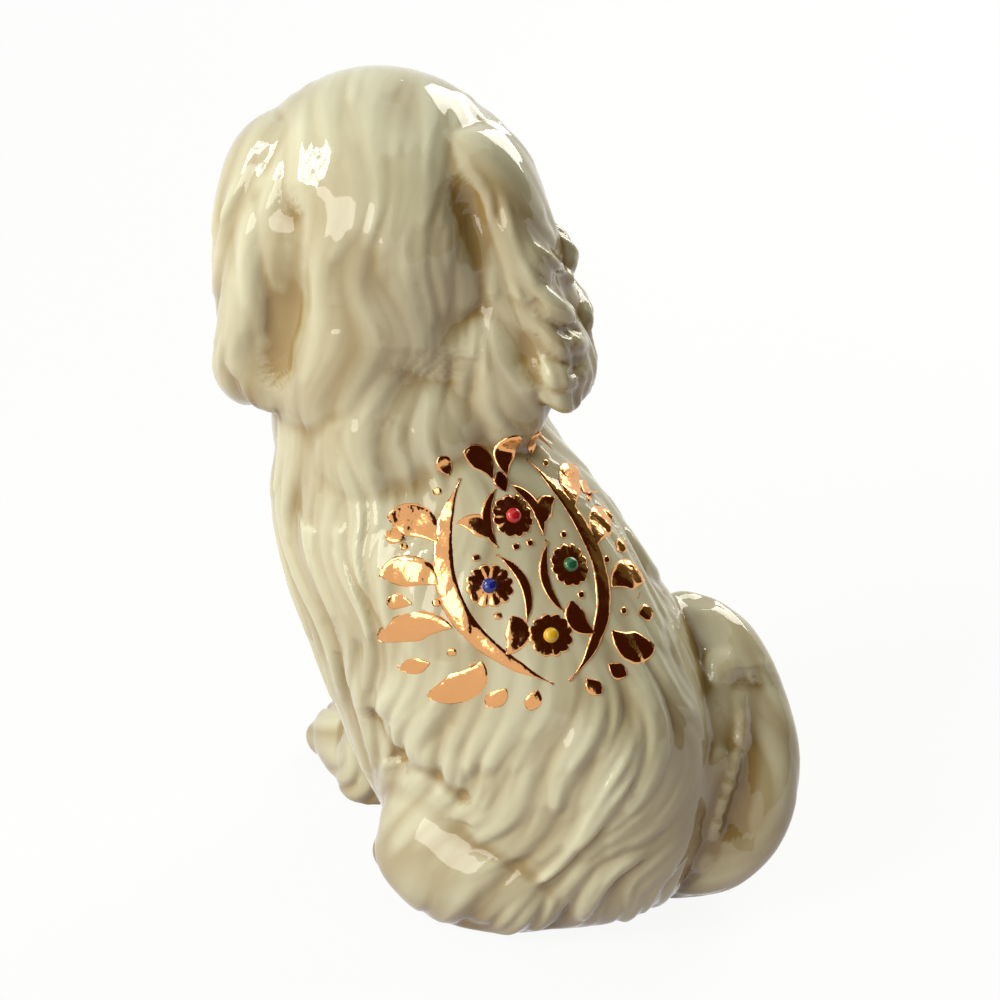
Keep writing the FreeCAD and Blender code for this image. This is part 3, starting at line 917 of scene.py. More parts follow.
# Pellets that fill the skull, the cheeks, the haunches, the bend of the back and the coil of
# the tail: cast, place in its box and half sizes.
LUMPS = [
    Lump("body_shell", (-0.33, 0.0, -0.96), (6, 6, 3.2)),
    Lump("head_shell", (-0.16, -0.33, 0.42), (13, 13, 14)),
    Lump("head_shell", (-0.43, 0.59, 0.40), (11, 11.5, 9.5)),
    Lump("head_shell", (-0.41, -0.60, 0.42), (11, 11, 8.5)),
    Lump("left_ear", (-0.62, -0.45, -0.05), (7, 5.5, 24)),
    Lump("left_ear", (-0.52, -0.35, -0.70), (8, 7, 8.5)),
    Lump("head_shell", (-0.52, -0.79, -0.69), (11, 13, 20)),
    Lump("body_shell", (0.36, 0.14, 0.64), (22, 23, 34)),
    Lump("tail", (0.06, -0.05, 0.60), (6, 6, 8)),
    Lump("tail", (-0.08, 0.20, 0.38), (6, 6, 8)),
    Lump("tail", (-0.18, 0.60, 0.12), (5.5, 5.5, 8)),
    Lump("tail", (-0.20, 0.70, -0.20), (5.5, 5.5, 8)),
    Lump("tail", (-0.15, 0.72, -0.50), (5.5, 5.5, 7)),
    Lump("body_shell", (-0.02, 0.60, -0.72), (14.5, 14.5, 14.5)),
    Lump("body_shell", (0.0, -0.62, -0.77), (13, 13, 13)),
]

# The rolled curls on both faces of the right ear: places in its box, belly and tip.
CURLS = [
    Curl("right_ear", places, belly, tip) for places, belly, tip in (
        (((-0.75, 0.05, 0.35), (-0.45, -0.30, 0.12), (-0.10, -0.42, 0.0)), 2.6, 1.4),
        (((-0.85, -0.05, 0.05), (-0.62, -0.45, -0.2), (-0.20, -0.60, -0.30)), 2.7, 1.5),
        (((-0.90, -0.10, -0.2), (-0.72, -0.58, -0.42), (-0.25, -0.82, -0.50)), 2.8, 1.6),
        (((-0.92, -0.20, -0.45), (-0.80, -0.58, -0.65), (-0.35, -0.88, -0.72)), 2.8, 1.6),
        (((-0.85, -0.30, -0.72), (-0.66, -0.60, -0.86), (-0.30, -0.75, -0.90)), 2.6, 1.5),
        (((0.75, -0.05, 0.25), (0.55, -0.40, 0.05), (0.20, -0.52, -0.12)), 2.6, 1.5),
        (((0.85, -0.20, -0.15), (0.65, -0.60, -0.38), (0.25, -0.80, -0.45)), 2.8, 1.6),
        (((0.80, -0.30, -0.55), (0.55, -0.70, -0.72), (0.15, -0.90, -0.80)), 2.8, 1.6),
    )
]

# Lines drawn with the modelling tool, with their width and depth in millimetres. A negative
# depth raises a ridge.
GROOVES = [
    Groove("head_shell", ((-0.79, 0.44, 0.52), (-0.88, 0.42, 0.20), (-0.88, 0.44, -0.09),
                          (-0.84, 0.53, -0.42), (-0.74, 0.64, -0.78)), 9.0, 2.6),
    Groove("right_ear", ((-0.80, 1.00, 0.74), (-0.87, 0.62, 0.52), (-0.97, 0.32, 0.22),
                         (-1.0, 0.08, -0.13), (-0.98, -0.15, -0.42), (-0.87, -0.35, -0.70)),
           8.0, 2.3),
    Groove("tail", ((-0.30, -0.30, 0.74), (-0.46, -0.08, 0.59), (-0.63, 0.19, 0.35),
                    (-0.68, 0.46, 0.08), (-0.60, 0.68, -0.19), (-0.50, 0.84, -0.38)),
           13.0, 2.4),
    Groove("tail", ((-0.30, 0.06, 0.64), (-0.45, 0.34, 0.40), (-0.44, 0.54, 0.20),
                    (-0.38, 0.68, 0.02), (-0.33, 0.78, -0.14), (-0.34, 0.88, -0.34)),
           3.2, -1.4, 0.18),
    Groove("body_shell", ((0.105, 0.46, 1.07), (0.138, 0.52, 0.90), (0.15, 0.57, 0.73),
                          (0.09, 0.65, 0.58), (-0.01, 0.72, 0.41)), 18.0, 2.4),
    Groove("body_shell", ((0.23, 0.81, -0.22), (0.17, 0.80, -0.34), (0.12, 0.80, -0.43)),
           8.0, 2.4),
    Groove("body_shell", ((0.12, 0.80, -0.42), (-0.02, 0.84, -0.38), (-0.14, 0.85, -0.40),
                          (-0.27, 0.83, -0.46)), 6.0, 1.3),
    Groove("head_shell", ((0.98, 0.0, -0.20), (0.98, 0.0, -0.32), (0.97, 0.0, -0.41)), 1.7, 0.9),
] + [
    Groove(f"{side}_foreleg", ((0.52, across, -0.40), (0.80, across, -0.52),
                               (1.0, across, -0.85)), 2.0, 1.3)
    for side in ("left", "right") for across in (-0.34, 0.34)
] + [
    Groove("head_shell", ((0.97, 0.0, -0.41), (0.95, 0.17 * side, -0.49),
                          (0.86, 0.36 * side, -0.48), (0.70, 0.52 * side, -0.38)), 1.9, 1.2)
    for side in (-1, 1)
]

# Locks from broad to fine, the order in which they are laid.
STRANDS = [
    Strand(width=9.5, length=44, height=2.1, spacing=10.5, lean=0.5, seed=3),
    Strand(width=5.2, length=30, height=0.75, spacing=7.0, lean=0.4, seed=4),
    Strand(width=2.0, length=18, height=0.22, spacing=3.4, lean=0.3, seed=5),
]


@dataclass
class Clay:
    """The casts of the frame joined as one mass, modelled, and cut apart at their seams.

    Lengths are in millimetres. The rounds of smoothing are those of the fine grain.
    """

    casts: tuple[str, ...] = tuple(REGIONS)
    plate: str = "base_plate"
    fine_grain: float = 0.65
    quick_grain: float = 1.0
    weld: float = 0.001
    corner_rounds: int = 7
    meld_rounds: int = 160
    thumb_rounds: int = 90
    hollow_rounds: int = 60
    keep_rounds: int = 12
    hem: Flat = (0.4, 3.0)  # heights between which the fur begins
    crest_share: float = 0.45  # of the fur's tone that calm places keep too
    hollow_pool_and_shade: float = 4.0  # tone lost in a millimetre of hollow, as pooled glaze together with painted shade
    foot_shade: float = 1.1  # painted shade: tone lost towards the foot, near the floor
    foot: Flat = (1.0, 13.0)  # heights between which that painted shade fades out
    seam_depth: float = 1.2  # how far a cut piece's rim turns inwards
    cap_depth: float = 1.0  # how far in the middle of a cut face lies

    @property
    def grain(self) -> float:
        return self.fine_grain

    def rounds(self, count: float, power: int = 2) -> int:
        """Turn rounds of smoothing at the fine grain to rounds at this grain."""
        return round(count * (self.fine_grain / self.grain) ** power)

    def mass(self) -> bpy.types.Mesh:
        """Join the casts with the pellets and locks.

        Returns:
            The outer skin of the mass.
        """
        added = bpy.data.meshes.new("clay")
        bm = bmesh.new()
        for addition in LUMPS + CURLS:
            addition.add(bm)
        bm.to_mesh(added)
        bm.free()
        bm = bmesh.new()
        for name in (*self.casts, self.plate):
            bm.from_mesh(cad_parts[name].data)
        bmesh.ops.remove_doubles(bm, verts=bm.verts, dist=self.weld * MM)
        bm.from_mesh(added)
        bm.to_mesh(added)
        bm.free()
        body = new_object("clay", added)
        remesh = body.modifiers.new("skin", "REMESH")
        remesh.mode = "VOXEL"
        remesh.voxel_size = self.grain * MM
        seen = body.evaluated_get(bpy.context.evaluated_depsgraph_get())
        skin = bpy.data.meshes.new_from_object(seen)
        bpy.data.objects.remove(body)
        return self.outermost(skin)

    def outermost(self, mesh: bpy.types.Mesh) -> bpy.types.Mesh:
        """Keep only the largest closed skin of a mesh.

        Args:
            mesh: The mesh, whose hollows have skins of their own.

        Returns:
            The same mesh.
        """
        bm = bmesh.new()
        bm.from_mesh(mesh)
        bm.verts.ensure_lookup_table()
        owner = np.full(len(bm.verts), -1)
        groups = []
        for seed in bm.verts:
            if owner[seed.index] >= 0:
                continue
            owner[seed.index] = len(groups)
            reached, front = [seed], [seed]
            while front:
                vertex = front.pop()
                for edge in vertex.link_edges:
                    other = edge.other_vert(vertex)
                    if owner[other.index] < 0:
                        owner[other.index] = len(groups)
                        reached.append(other)
                        front.append(other)
            groups.append(reached)
        groups.sort(key=len, reverse=True)
        log.info("skins of the clay: %s", [len(g) for g in groups[:6]])
        bmesh.ops.delete(bm, geom=[v for g in groups[1:] for v in g], context="VERTS")
        bm.to_mesh(mesh)
        bm.free()
        return mesh

    def model(self) -> Skin:
        """Smooth the mass, comb it, lay the fur on it and draw the hand-made lines.

        Returns:
            The modelled skin.
        """
        skin = Skin(self.mass())
        log.info("clay: %d points", len(skin.points))
        skin.soften(self.rounds(self.corner_rounds, 1), 0.5)
        skin.meld(MELDS, self.rounds(self.meld_rounds))
        skin.label([*self.casts, self.plate])
        skin.comb()
        for groove in GROOVES:
            skin.press(groove)
        for node in ("left_eye", "right_eye"):
            skin.raise_lid(node)
        skin.normals = skin.read_normals()
        log.info("combed")
        keep = skin.calm() * smoothstep(*self.hem, skin.points[:, 2])
        keep = skin.settle(keep[:, None], self.keep_rounds)[:, 0]
        relief = np.zeros(len(skin.points))
        for strand in STRANDS:
            layer = skin.lay(strand, keep)
            relief += layer - layer.mean()
            log.info("layer of locks %.1f mm wide", strand.width)
        # The tone carries painted shade, together with pooled glaze, into the glaze's colour.
        skin.tone = self.pooling_and_shade(skin, relief, keep)
        relief = skin.settle((relief * keep)[:, None], 1, 0.5)[:, 0]
        skin.points = skin.points + relief[:, None] * skin.normals
        skin.soften(1, 0.35)
        skin.meld(THUMBED, self.rounds(self.thumb_rounds))
        skin.points[:, 2] = np.maximum(skin.points[:, 2], 0.0)
        skin.normals = skin.read_normals()
        return skin

    def pooling_and_shade(self, skin: Skin, relief: np.ndarray, keep: np.ndarray) -> np.ndarray:
        """Work out the glaze's tone: high on the crests, and low in the grooves and hollows, with
        pooled glaze and painted shade there, and at the foot, with painted shade near the floor.

        Args:
            skin: The skin before the fur lifts it.
            relief: Height of the fur in millimetres.
            keep: Share of the relief that stays at each vertex.

        Returns:
            One tone for each vertex, about from -1.5 to 1.
        """
        even = skin.settle(skin.points, self.rounds(self.hollow_rounds))
        hollow = ((even - skin.points) * skin.normals).sum(1)
        # Pooled glaze with painted shade: darker in the fur's grooves and in hollows.
        tone = relief * (self.crest_share + (1 - self.crest_share) * keep)
        tone -= self.hollow_pool_and_shade * np.maximum(hollow, 0.0)
        # Painted shade near the floor: darker towards the foot.
        return tone - self.foot_shade * (1 - smoothstep(*self.foot, skin.points[:, 2]))

    def cut_apart(self, skin: Skin) -> dict[str, bpy.types.Object]:
        """Cut the skin at its seams.

        Args:
            skin: The modelled skin.

        Returns:
            One closed piece for each cast, by the cast's name.
        """
        mesh = skin.mesh
        for name, kind, key, values in (
                ("seam_normal", "FLOAT_VECTOR", "vector", skin.normals),
                ("tone", "FLOAT", "value", skin.tone)):
            held = mesh.attributes.new(name, kind, "POINT")
            held.data.foreach_set(key, values.astype(np.float32).ravel())
        for name in skin.casts:
            mesh.materials.append(bpy.data.materials.new(f"seam_{name}"))
        first = read_values(mesh.polygons, "loop_start", 1, np.int32)
        corners = read_values(mesh.loops, "vertex_index", 1, np.int32)
        owners = skin.cast[corners[first]].astype(np.int32)
        mesh.polygons.foreach_set("material_index", owners)
        whole = new_object("clay", mesh)
        bpy.ops.object.select_all(action="DESELECT")
        bpy.context.view_layer.objects.active = whole
        whole.select_set(True)
        bpy.ops.object.mode_set(mode="EDIT")
        bpy.ops.mesh.select_all(action="SELECT")
        bpy.ops.mesh.separate(type="MATERIAL")
        bpy.ops.object.mode_set(mode="OBJECT")
        pieces = {}
        for part in list(bpy.context.selected_objects):
            part.select_set(False)
            seam = part.data.materials[part.data.polygons[0].material_index]
            cast = seam.name.removeprefix("seam_")
            part.data.materials.clear()
            if cast == self.plate:
                bpy.data.objects.remove(part)
                continue
            self.close(part)
            part.name = f"{cast}_glazed"
            part.data.name = part.name
            pieces[cast] = part
        return pieces

    def close(self, part: bpy.types.Object) -> None:
        """Close a piece's seams inwards, and keep the whole skin's normals on its outside.

        Args:
            part: The piece, which is open along its seams.
        """
        mesh = part.data
        bm = bmesh.new()
        bm.from_mesh(mesh)
        held = bm.verts.layers.float_vector["seam_normal"]
        outside = len(bm.faces)
        rims = [e for e in bm.edges if e.is_boundary]
        grown = bmesh.ops.extrude_edge_only(bm, edges=rims)["geom"]
        for vertex in (g for g in grown if isinstance(g, bmesh.types.BMVert)):
            vertex.co -= vertex[held] * self.seam_depth * MM
        for loop in self.loops([e for e in bm.edges if e.is_boundary]):
            verts = {v for e in loop for v in e.verts}
            middle = sum((v.co for v in verts), Vector()) / len(verts)
            inward = sum((v[held] for v in verts), Vector()) / len(verts)
            edges = bmesh.ops.extrude_edge_only(bm, edges=loop)["geom"]
            ring = [g for g in edges if isinstance(g, bmesh.types.BMVert)]
            bmesh.ops.pointmerge(bm, verts=ring, merge_co=middle - inward * self.cap_depth * MM)
        for face in bm.faces:
            face.smooth = True
        bm.to_mesh(mesh)
        bm.free()
        kept = read_values(mesh.attributes["seam_normal"].data, "vector", 3, np.float32)
        normals = kept[read_values(mesh.loops, "vertex_index", 1, np.int32)]
        sizes = read_values(mesh.polygons, "loop_total", 1, np.int32)
        own = np.repeat(read_values(mesh.polygons, "normal", 3, np.float32), sizes, axis=0)
        cap = np.repeat(np.arange(len(sizes)) >= outside, sizes)
        normals[cap] = own[cap]
        mesh.normals_split_custom_set(normals.tolist())

    def loops(self, edges: list[bmesh.types.BMEdge]) -> list[list[bmesh.types.BMEdge]]:
        """Sort boundary edges into connected loops.

        Args:
            edges: The edges of all loops.

        Returns:
            The edges of each loop.
        """
        left, found = set(edges), []
        while left:
            front, loop = [left.pop()], []
            while front:
                edge = front.pop()
                loop.append(edge)
                for vertex in edge.verts:
                    for other in vertex.link_edges:
                        if other in left:
                            left.remove(other)
                            front.append(other)
            found.append(loop)
        return found


@dataclass
class Gilding:
    """The fired gilding on the back: scrolls, leaves, star flowers and dots, in millimetres.

    Places are shares of the spray's width, to the right of its middle and up the back. A
    mark runs from one place to another, and its two edges bulge sideways by two shares.
    Every mark but the stars is laid again in mirror image.
    """

    skin: BVHTree
    width: float = 52.0
    turn: float = 153.0  # degrees from the dog's forward to the way the spray faces
    tilt: float = 25.0  # degrees that it faces upwards
    forward: float = 10.58  # of the body's middle
    height_share: float = 0.555  # of the body's height at which its middle lies
    clear: float = 60.0  # from where the marks are cast on the glaze
    thickness: float = 0.22
    underside: float = 0.25  # thickness of the skin that is closed under a mark
    sunk: float = -0.15  # height of a mark's rim over the glaze
    grid_step: float = 0.6
    star_radius: float = 4.1
    star_petals: int = 12
    dot_radius: float = 0.85
    scrolls: tuple[tuple[Flat, Flat, float, float], ...] = (
        ((0.030, -0.44), (0.150, 0.400), -0.235, -0.185),
        ((0.075, -0.185), (0.105, 0.085), 0.062, 0.034),
        ((0.095, 0.110), (0.030, 0.330), -0.060, -0.030),
    )
    leaves: tuple[tuple[Flat, Flat, float, float], ...] = (
        ((0.245, -0.300), (0.410, -0.405), 0.010, -0.080),
        ((0.315, -0.150), (0.500, -0.170), 0.082, -0.004),
        ((0.325, 0.020), (0.490, 0.095), 0.080, -0.010),
        ((0.290, 0.180), (0.420, 0.310), 0.082, -0.012),
        ((0.170, -0.290), (0.120, -0.150), 0.060, -0.004),
        ((0.210, 0.235), (0.110, 0.155), 0.006, -0.056),
        ((0.035, 0.370), (0.120, 0.495), 0.066, -0.004),
    )
    buds: tuple[tuple[Flat, Flat, float, float], ...] = (
        ((0.395, -0.275), (0.470, -0.285), 0.024, -0.024),
        ((0.420, -0.030), (0.485, -0.005), 0.022, -0.022),
        ((0.385, 0.215), (0.440, 0.250), 0.022, -0.022),
        ((0.185, 0.420), (0.215, 0.500), 0.026, -0.020),
        ((0.190, -0.420), (0.250, -0.480), 0.022, -0.026),
        ((0.000, 0.310), (0.000, 0.390), 0.024, -0.024),
        ((0.090, -0.450), (0.130, -0.520), 0.020, -0.024),
    )
    dots: tuple[Flat, ...] = (
        (0.330, -0.245), (0.345, -0.045), (0.395, 0.190), (0.240, 0.370),
        (0.185, 0.095), (0.165, -0.138), (0.030, 0.100),
    )
    stars: dict[Colour, Flat] = field(default_factory=lambda: {
        Colour.RED: (0.0, 0.215), Colour.BLUE: (-0.165, -0.020),
        Colour.GREEN: (0.165, -0.020), Colour.YELLOW: (0.0, -0.255)})

    def __post_init__(self) -> None:
        """Work out the plane that the spray is drawn on."""
        low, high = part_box("body_shell")
        height = (high.z - low.z) / MM
        turn, tilt = math.radians(self.turn), math.radians(self.tilt)
        level = np.array([math.cos(turn), math.sin(turn), 0.0]) @ BODY_AXES
        self.facing = Vector(level * math.cos(tilt)) + UP * math.sin(tilt)
        self.across = UP.cross(self.facing).normalized()
        self.along = self.facing.cross(self.across)
        middle = np.array([self.forward, 0.0, self.height_share * height])
        self.middle = Vector(middle @ BODY_AXES)

    def lay(self, across: float, along: float, rise: float) -> Vector:
        """Find a point on the glaze.

        Args:
            across: Share of the spray's width to the right of its middle.
            along: Share of the spray's width up the back.
            rise: Height over the glaze in millimetres.

        Returns:
            The point, in metres.
        """
        flat = self.middle + (self.across * across + self.along * along) * self.width
        hit, normal, _, _ = self.skin.ray_cast(flat + self.facing * self.clear, -self.facing)
        return (hit + normal * rise) * MM

    def ribbon(self, bm: bmesh.types.BMesh, start: Flat, end: Flat, bulge_one: float,
               bulge_two: float, mark: Mark) -> None:
        """Lay one scroll or leaf on the glaze, thin at its rims.

        Args:
            bm: What it is added to.
            start: Where it begins.
            end: Where it ends.
            bulge_one: How far one edge bulges in the middle.
            bulge_two: How far the other does.
            mark: Its kind. A scroll has blunt ends, and a leaf is broadest near its base.
        """
        a, b = Vector((*start, 0.0)), Vector((*end, 0.0))
        side = Vector((a.y - b.y, b.x - a.x, 0.0)).normalized()
        bend = (bulge_one + bulge_two) / 2
        half = abs(bulge_one - bulge_two) / 2
        steps = max(22, int((b - a).length * self.width / self.grid_step))
        grid = bmesh.ops.create_grid(bm, x_segments=steps, y_segments=8, size=1.0)
        for vertex in grid["verts"]:
            # Along and across the mark, closer together towards its ends.
            t, v = (1 - math.cos(math.pi * (vertex.co.x + 1) / 2)) / 2, vertex.co.y
            middle = a.lerp(b, t) + side * bend * 4 * t * (1 - t)
            if mark is Mark.LEAF:
                wide = half * 1.55 * math.sin(math.pi * t ** 1.25) ** 0.62
            else:
                wide = half * (0.35 + 1.25 * math.sin(math.pi * t) ** 0.8)
                wide *= min(1.0, 8 * t + 0.02, 8 * (1 - t) + 0.02)
            slope = (b - a) + side * bend * 4 * (1 - 2 * t)
            normal = Vector((-slope.y, slope.x, 0.0)).normalized()
            place = middle + normal * v * max(wide, 0.0005)
            rise = self.sunk
            if abs(v) < 1 and 1e-6 <= t <= 1 - 1e-6:
                rise = self.thickness * (0.45 + 0.75 * (1 - v * v) ** 0.5)
            vertex.co = self.lay(place.x, place.y, rise)

    def rosette(self, bm: bmesh.types.BMesh, across: float, along: float, radius: float,
                petals: int, segments: int) -> None:
        """Lay one round flower or dot on the glaze.

        Args:
            bm: What it is added to.
            across: Share of the spray's width to the right of its middle.
            along: Share of the spray's width up the back.
            radius: In millimetres.
            petals: How many scallops its rim has, none for a dot.
            segments: Faces along each side of the grid that is pulled round.
        """
        grid = bmesh.ops.create_grid(bm, x_segments=segments, y_segments=segments, size=1.0)
        for vertex in grid["verts"]:
            # Pull the square grid round, then scallop its rim.
            x, y = vertex.co.x, vertex.co.y
            disc_x = x * math.sqrt(1 - y * y / 2)
            disc_y = y * math.sqrt(1 - x * x / 2)
            reach = min(1.0, math.hypot(disc_x, disc_y))
            angle = math.atan2(disc_y, disc_x)
            lobe = wave = 0.0
            if petals:
                lobe = 2 * math.sqrt(abs(math.cos(petals * angle / 2))) - 1
                wave = 0.12 * math.cos(petals * angle) * reach ** 2 * (1 - reach ** 6)
            far = reach * (1 + 0.11 * lobe * reach ** 3) * radius / self.width
            rise = self.sunk
            if reach <= 0.999:
                rise = self.thickness * (0.5 + 0.7 * math.sqrt(max(0.0, 1 - reach ** 4))) + wave
            vertex.co = self.lay(across + far * math.cos(angle),
                                 along + far * math.sin(angle), rise)

    def finish(self, bm: bmesh.types.BMesh, node: str) -> bpy.types.Object:
        """Give the gilding its underside and make it a piece.

        Args:
            bm: The laid marks.
            node: The CAD node that it stands for.

        Returns:
            The piece.
        """
        bm.normal_update()
        turned = [f for f in bm.faces if f.normal.dot(self.facing) < 0]
        bmesh.ops.reverse_faces(bm, faces=turned)
        bmesh.ops.solidify(bm, geom=bm.faces[:], thickness=self.underside * MM)
        return to_object(bm, f"{node}_fired")

    def build(self) -> dict[str, bpy.types.Object]:
        """Make the four pieces of gilding.

        Returns:
            The CAD node that each stands for, and its object.
        """
        made = {}
        for node, table, mark in (("gilt_scrolls", self.scrolls, Mark.SCROLL),
                                  ("gilt_leaves", self.leaves + self.buds, Mark.LEAF)):
            bm = bmesh.new()
            for side in (1, -1):
                for start, end, one, two in table:
                    self.ribbon(bm, (side * start[0], start[1]), (side * end[0], end[1]),
                                side * one, side * two, mark)
            made[node] = self.finish(bm, node)
        bm = bmesh.new()
        for across, along in self.stars.values():
            self.rosette(bm, across, along, self.star_radius, self.star_petals, 30)
        made["gilt_stars"] = self.finish(bm, "gilt_stars")
        bm = bmesh.new()
        for across, along in self.dots:
            for side in (1, -1):
                self.rosette(bm, side * across, along, self.dot_radius, 0, 8)
        made["gilt_dots"] = self.finish(bm, "gilt_dots")
        return made


@dataclass(frozen=True)
class EnamelBead:
    """One bead of raised enamel in the middle of a star, in millimetres."""

    colour: Colour
    width: float = 3.1
    lift: float = 0.35  # of its middle over the glaze
    flatness: float = 0.72  # its height as a share of its width

    def build(self, gilding: Gilding) -> bpy.types.Object:
        """Set the bead on its star.

        Args:
            gilding: The spray that it belongs to.

        Returns:
            The bead.
        """
        across, along = gilding.stars[self.colour]
        foot = gilding.lay(across, along, 0.0)
        out = (gilding.lay(across, along, 1.0) - foot).normalized()
        half = self.width / 2 * MM
        shape = (Matrix.Translation(foot + out * self.lift * MM)
                 @ out.to_track_quat("Z", "Y").to_matrix().to_4x4()
                 @ Matrix.Diagonal((half, half, half * self.flatness, 1.0)))
        bm = bmesh.new()
        bmesh.ops.create_uvsphere(bm, u_segments=32, v_segments=20, radius=1.0, matrix=shape)
        return to_object(bm, f"{self.colour.word}_enamel_bead")


@dataclass(frozen=True)
class Eye:
    """One eye, or any round form that fills the box of its CAD node."""

    node: str
    segments: int = 48

    def carve(self, bm: bmesh.types.BMesh) -> None:
        """Leave the ball as it is."""

    def build(self) -> bpy.types.Object:
        """Make the form.

        Returns:
            The piece.
        """
        low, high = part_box(self.node)
        half = (high - low) / 2
        bm = bmesh.new()
        bmesh.ops.create_uvsphere(bm, u_segments=self.segments, v_segments=self.segments,
                                  radius=1.0)
        self.carve(bm)
        fit = Matrix.Translation((low + high) / 2) @ Matrix.Diagonal((*half, 1.0))
        bmesh.ops.transform(bm, matrix=fit, verts=bm.verts)
        return to_object(bm, f"{self.node}_glazed")


@dataclass(frozen=True)
class Nose(Eye):
    """The nose leather, with sizes as shares of its half width."""

    node: str = "nose"
    nostril_aside: float = 0.46
    nostril_size: Flat = (0.20, 0.26)
    nostril_depth: float = 0.42
    parting_width: float = 0.07
    parting_depth: float = 0.16
    flare: float = 0.12

    def carve(self, bm: bmesh.types.BMesh) -> None:
        """Press in two comma-shaped nostrils and the parting between them.

        Args:
            bm: A ball of radius one that faces -Y.
        """
        wide, tall = self.nostril_size
        for vertex in bm.verts:
            x, y, z = vertex.co
            front = max(0.0, -y)
            aside = abs(x) - self.nostril_aside - 0.25 * max(0.0, z)
            comma = math.hypot(aside / wide, (z + 0.10) / tall)
            dent = self.nostril_depth * math.exp(-comma ** 2) * front
            fade = 1.0 if z < 0 else max(0.0, 1 - 3 * z)
            dent += self.parting_depth * math.exp(-(x / self.parting_width) ** 2) * front * fade
            vertex.co = Vector((x * (1 + self.flare * z), y + dent, z))


@dataclass(frozen=True)
class IvoryGlaze:
    """Clear glaze over cream slip-cast china, dipped and fired, lengths in millimetres.

    The glaze runs off the crests, which stay pale, and pools honey-coloured in the hollows.
    The hollows, the grooves of the fur and the foot are darkened further with painted shade.
    It is as smooth as glass, so windows show in it with sharp edges.
    """

    crest: str = "E7E7C9"
    # Colour of the hollows: pooled glaze together with painted shade.
    pool_and_shade: str = "A38B58"
    crest_tone: float = 1.1
    pool_and_shade_tone: float = -1.5
    roughness: float = 0.05
    ior: float = 1.52
    cloud: float = 30.0
    ripple: float = 7.0
    ripple_depth: float = 0.25

    def material(self) -> bpy.types.Material:
        """Build the material.

        Returns:
            It, with its colour led by the attribute "tone" of the skin.
        """
        made = new_material("ivory_glaze_over_cast_china")
        tree = made.node_tree
        place = add_node(tree, "ShaderNodeTexCoord")
        # Crest or hollow, from the modelled fur itself: pooled glaze with painted shade in the
        # grooves and hollows, and painted shade at the foot.
        crests = add_node(tree, "ShaderNodeAttribute", attribute_name="tone")
        depth = add_node(tree, "ShaderNodeMapRange", {
            "Value": crests.outputs["Fac"],
            "From Min": self.pool_and_shade_tone, "From Max": self.crest_tone})
        # Broad clouds, since dipped glaze is nowhere quite even.
        tone = add_node(tree, "ShaderNodeTexNoise", {
            "Vector": place.outputs["Object"], "Scale": 1 / (self.cloud * MM),
            "Detail": 3.0, "Roughness": 0.5})
        sway = add_node(tree, "ShaderNodeMath", {0: tone.outputs["Fac"], 1: 0.5},
                        operation="SUBTRACT")
        share = add_node(tree, "ShaderNodeMath", {
            0: sway.outputs[0], 1: 0.5, 2: depth.outputs["Result"]},
            operation="MULTIPLY_ADD", use_clamp=True)
        colour = add_node(tree, "ShaderNodeMix", {
            0: share.outputs[0], 6: linear(self.pool_and_shade), 7: linear(self.crest)},
            data_type="RGBA")
        # A slow ripple that bends the edges of what the glaze mirrors.
        grain = add_node(tree, "ShaderNodeTexNoise", {
            "Vector": place.outputs["Object"], "Scale": 1 / (self.ripple * MM), "Detail": 2.0})
        bump = add_node(tree, "ShaderNodeBump", {
            "Height": grain.outputs["Fac"], "Strength": 0.12,
            "Distance": self.ripple_depth * MM})
        shader = add_node(tree, "ShaderNodeBsdfPrincipled", {
            "Base Color": colour.outputs[2], "Roughness": self.roughness, "IOR": self.ior,
            "Normal": bump.outputs["Normal"]})
        add_node(tree, "ShaderNodeOutputMaterial", {"Surface": shader.outputs["BSDF"]})
        return made


@dataclass(frozen=True)
class BurnishedGilding:
    """Liquid bright gold, brushed on the glaze and fired, lengths in millimetres.

    A thin mirror skin. It shows the room rather than a colour of its own, so it turns from
    dark brown to peach with the wall or window that it faces.
    """

    colour: str = "E2A56B"
    roughness: float = 0.10
    wave: float = 2.5
    wave_depth: float = 0.35

    def material(self) -> bpy.types.Material:
        """Build the material.

        Returns:
            It, a metal with the default IOR.
        """
        made = new_material("bright_fired_gilding")
        tree = made.node_tree
        place = add_node(tree, "ShaderNodeTexCoord")
        # The brush leaves the gold in waves, which break up the mirrored room.
        wave = add_node(tree, "ShaderNodeTexNoise", {
            "Vector": place.outputs["Object"], "Scale": 1 / (self.wave * MM), "Detail": 2.0})
        bump = add_node(tree, "ShaderNodeBump", {
            "Height": wave.outputs["Fac"], "Strength": 0.6, "Distance": self.wave_depth * MM})
        # Handling dulls it in patches.
        wear = add_node(tree, "ShaderNodeMapRange", {
            "Value": wave.outputs["Fac"], "From Min": 0.3, "From Max": 0.7,
            "To Min": self.roughness * 0.6, "To Max": self.roughness * 1.8})
        shader = add_node(tree, "ShaderNodeBsdfPrincipled", {
            "Base Color": linear(self.colour), "Metallic": 1.0,
            "Roughness": wear.outputs["Result"], "Normal": bump.outputs["Normal"]})
        add_node(tree, "ShaderNodeOutputMaterial", {"Surface": shader.outputs["BSDF"]})
        return made


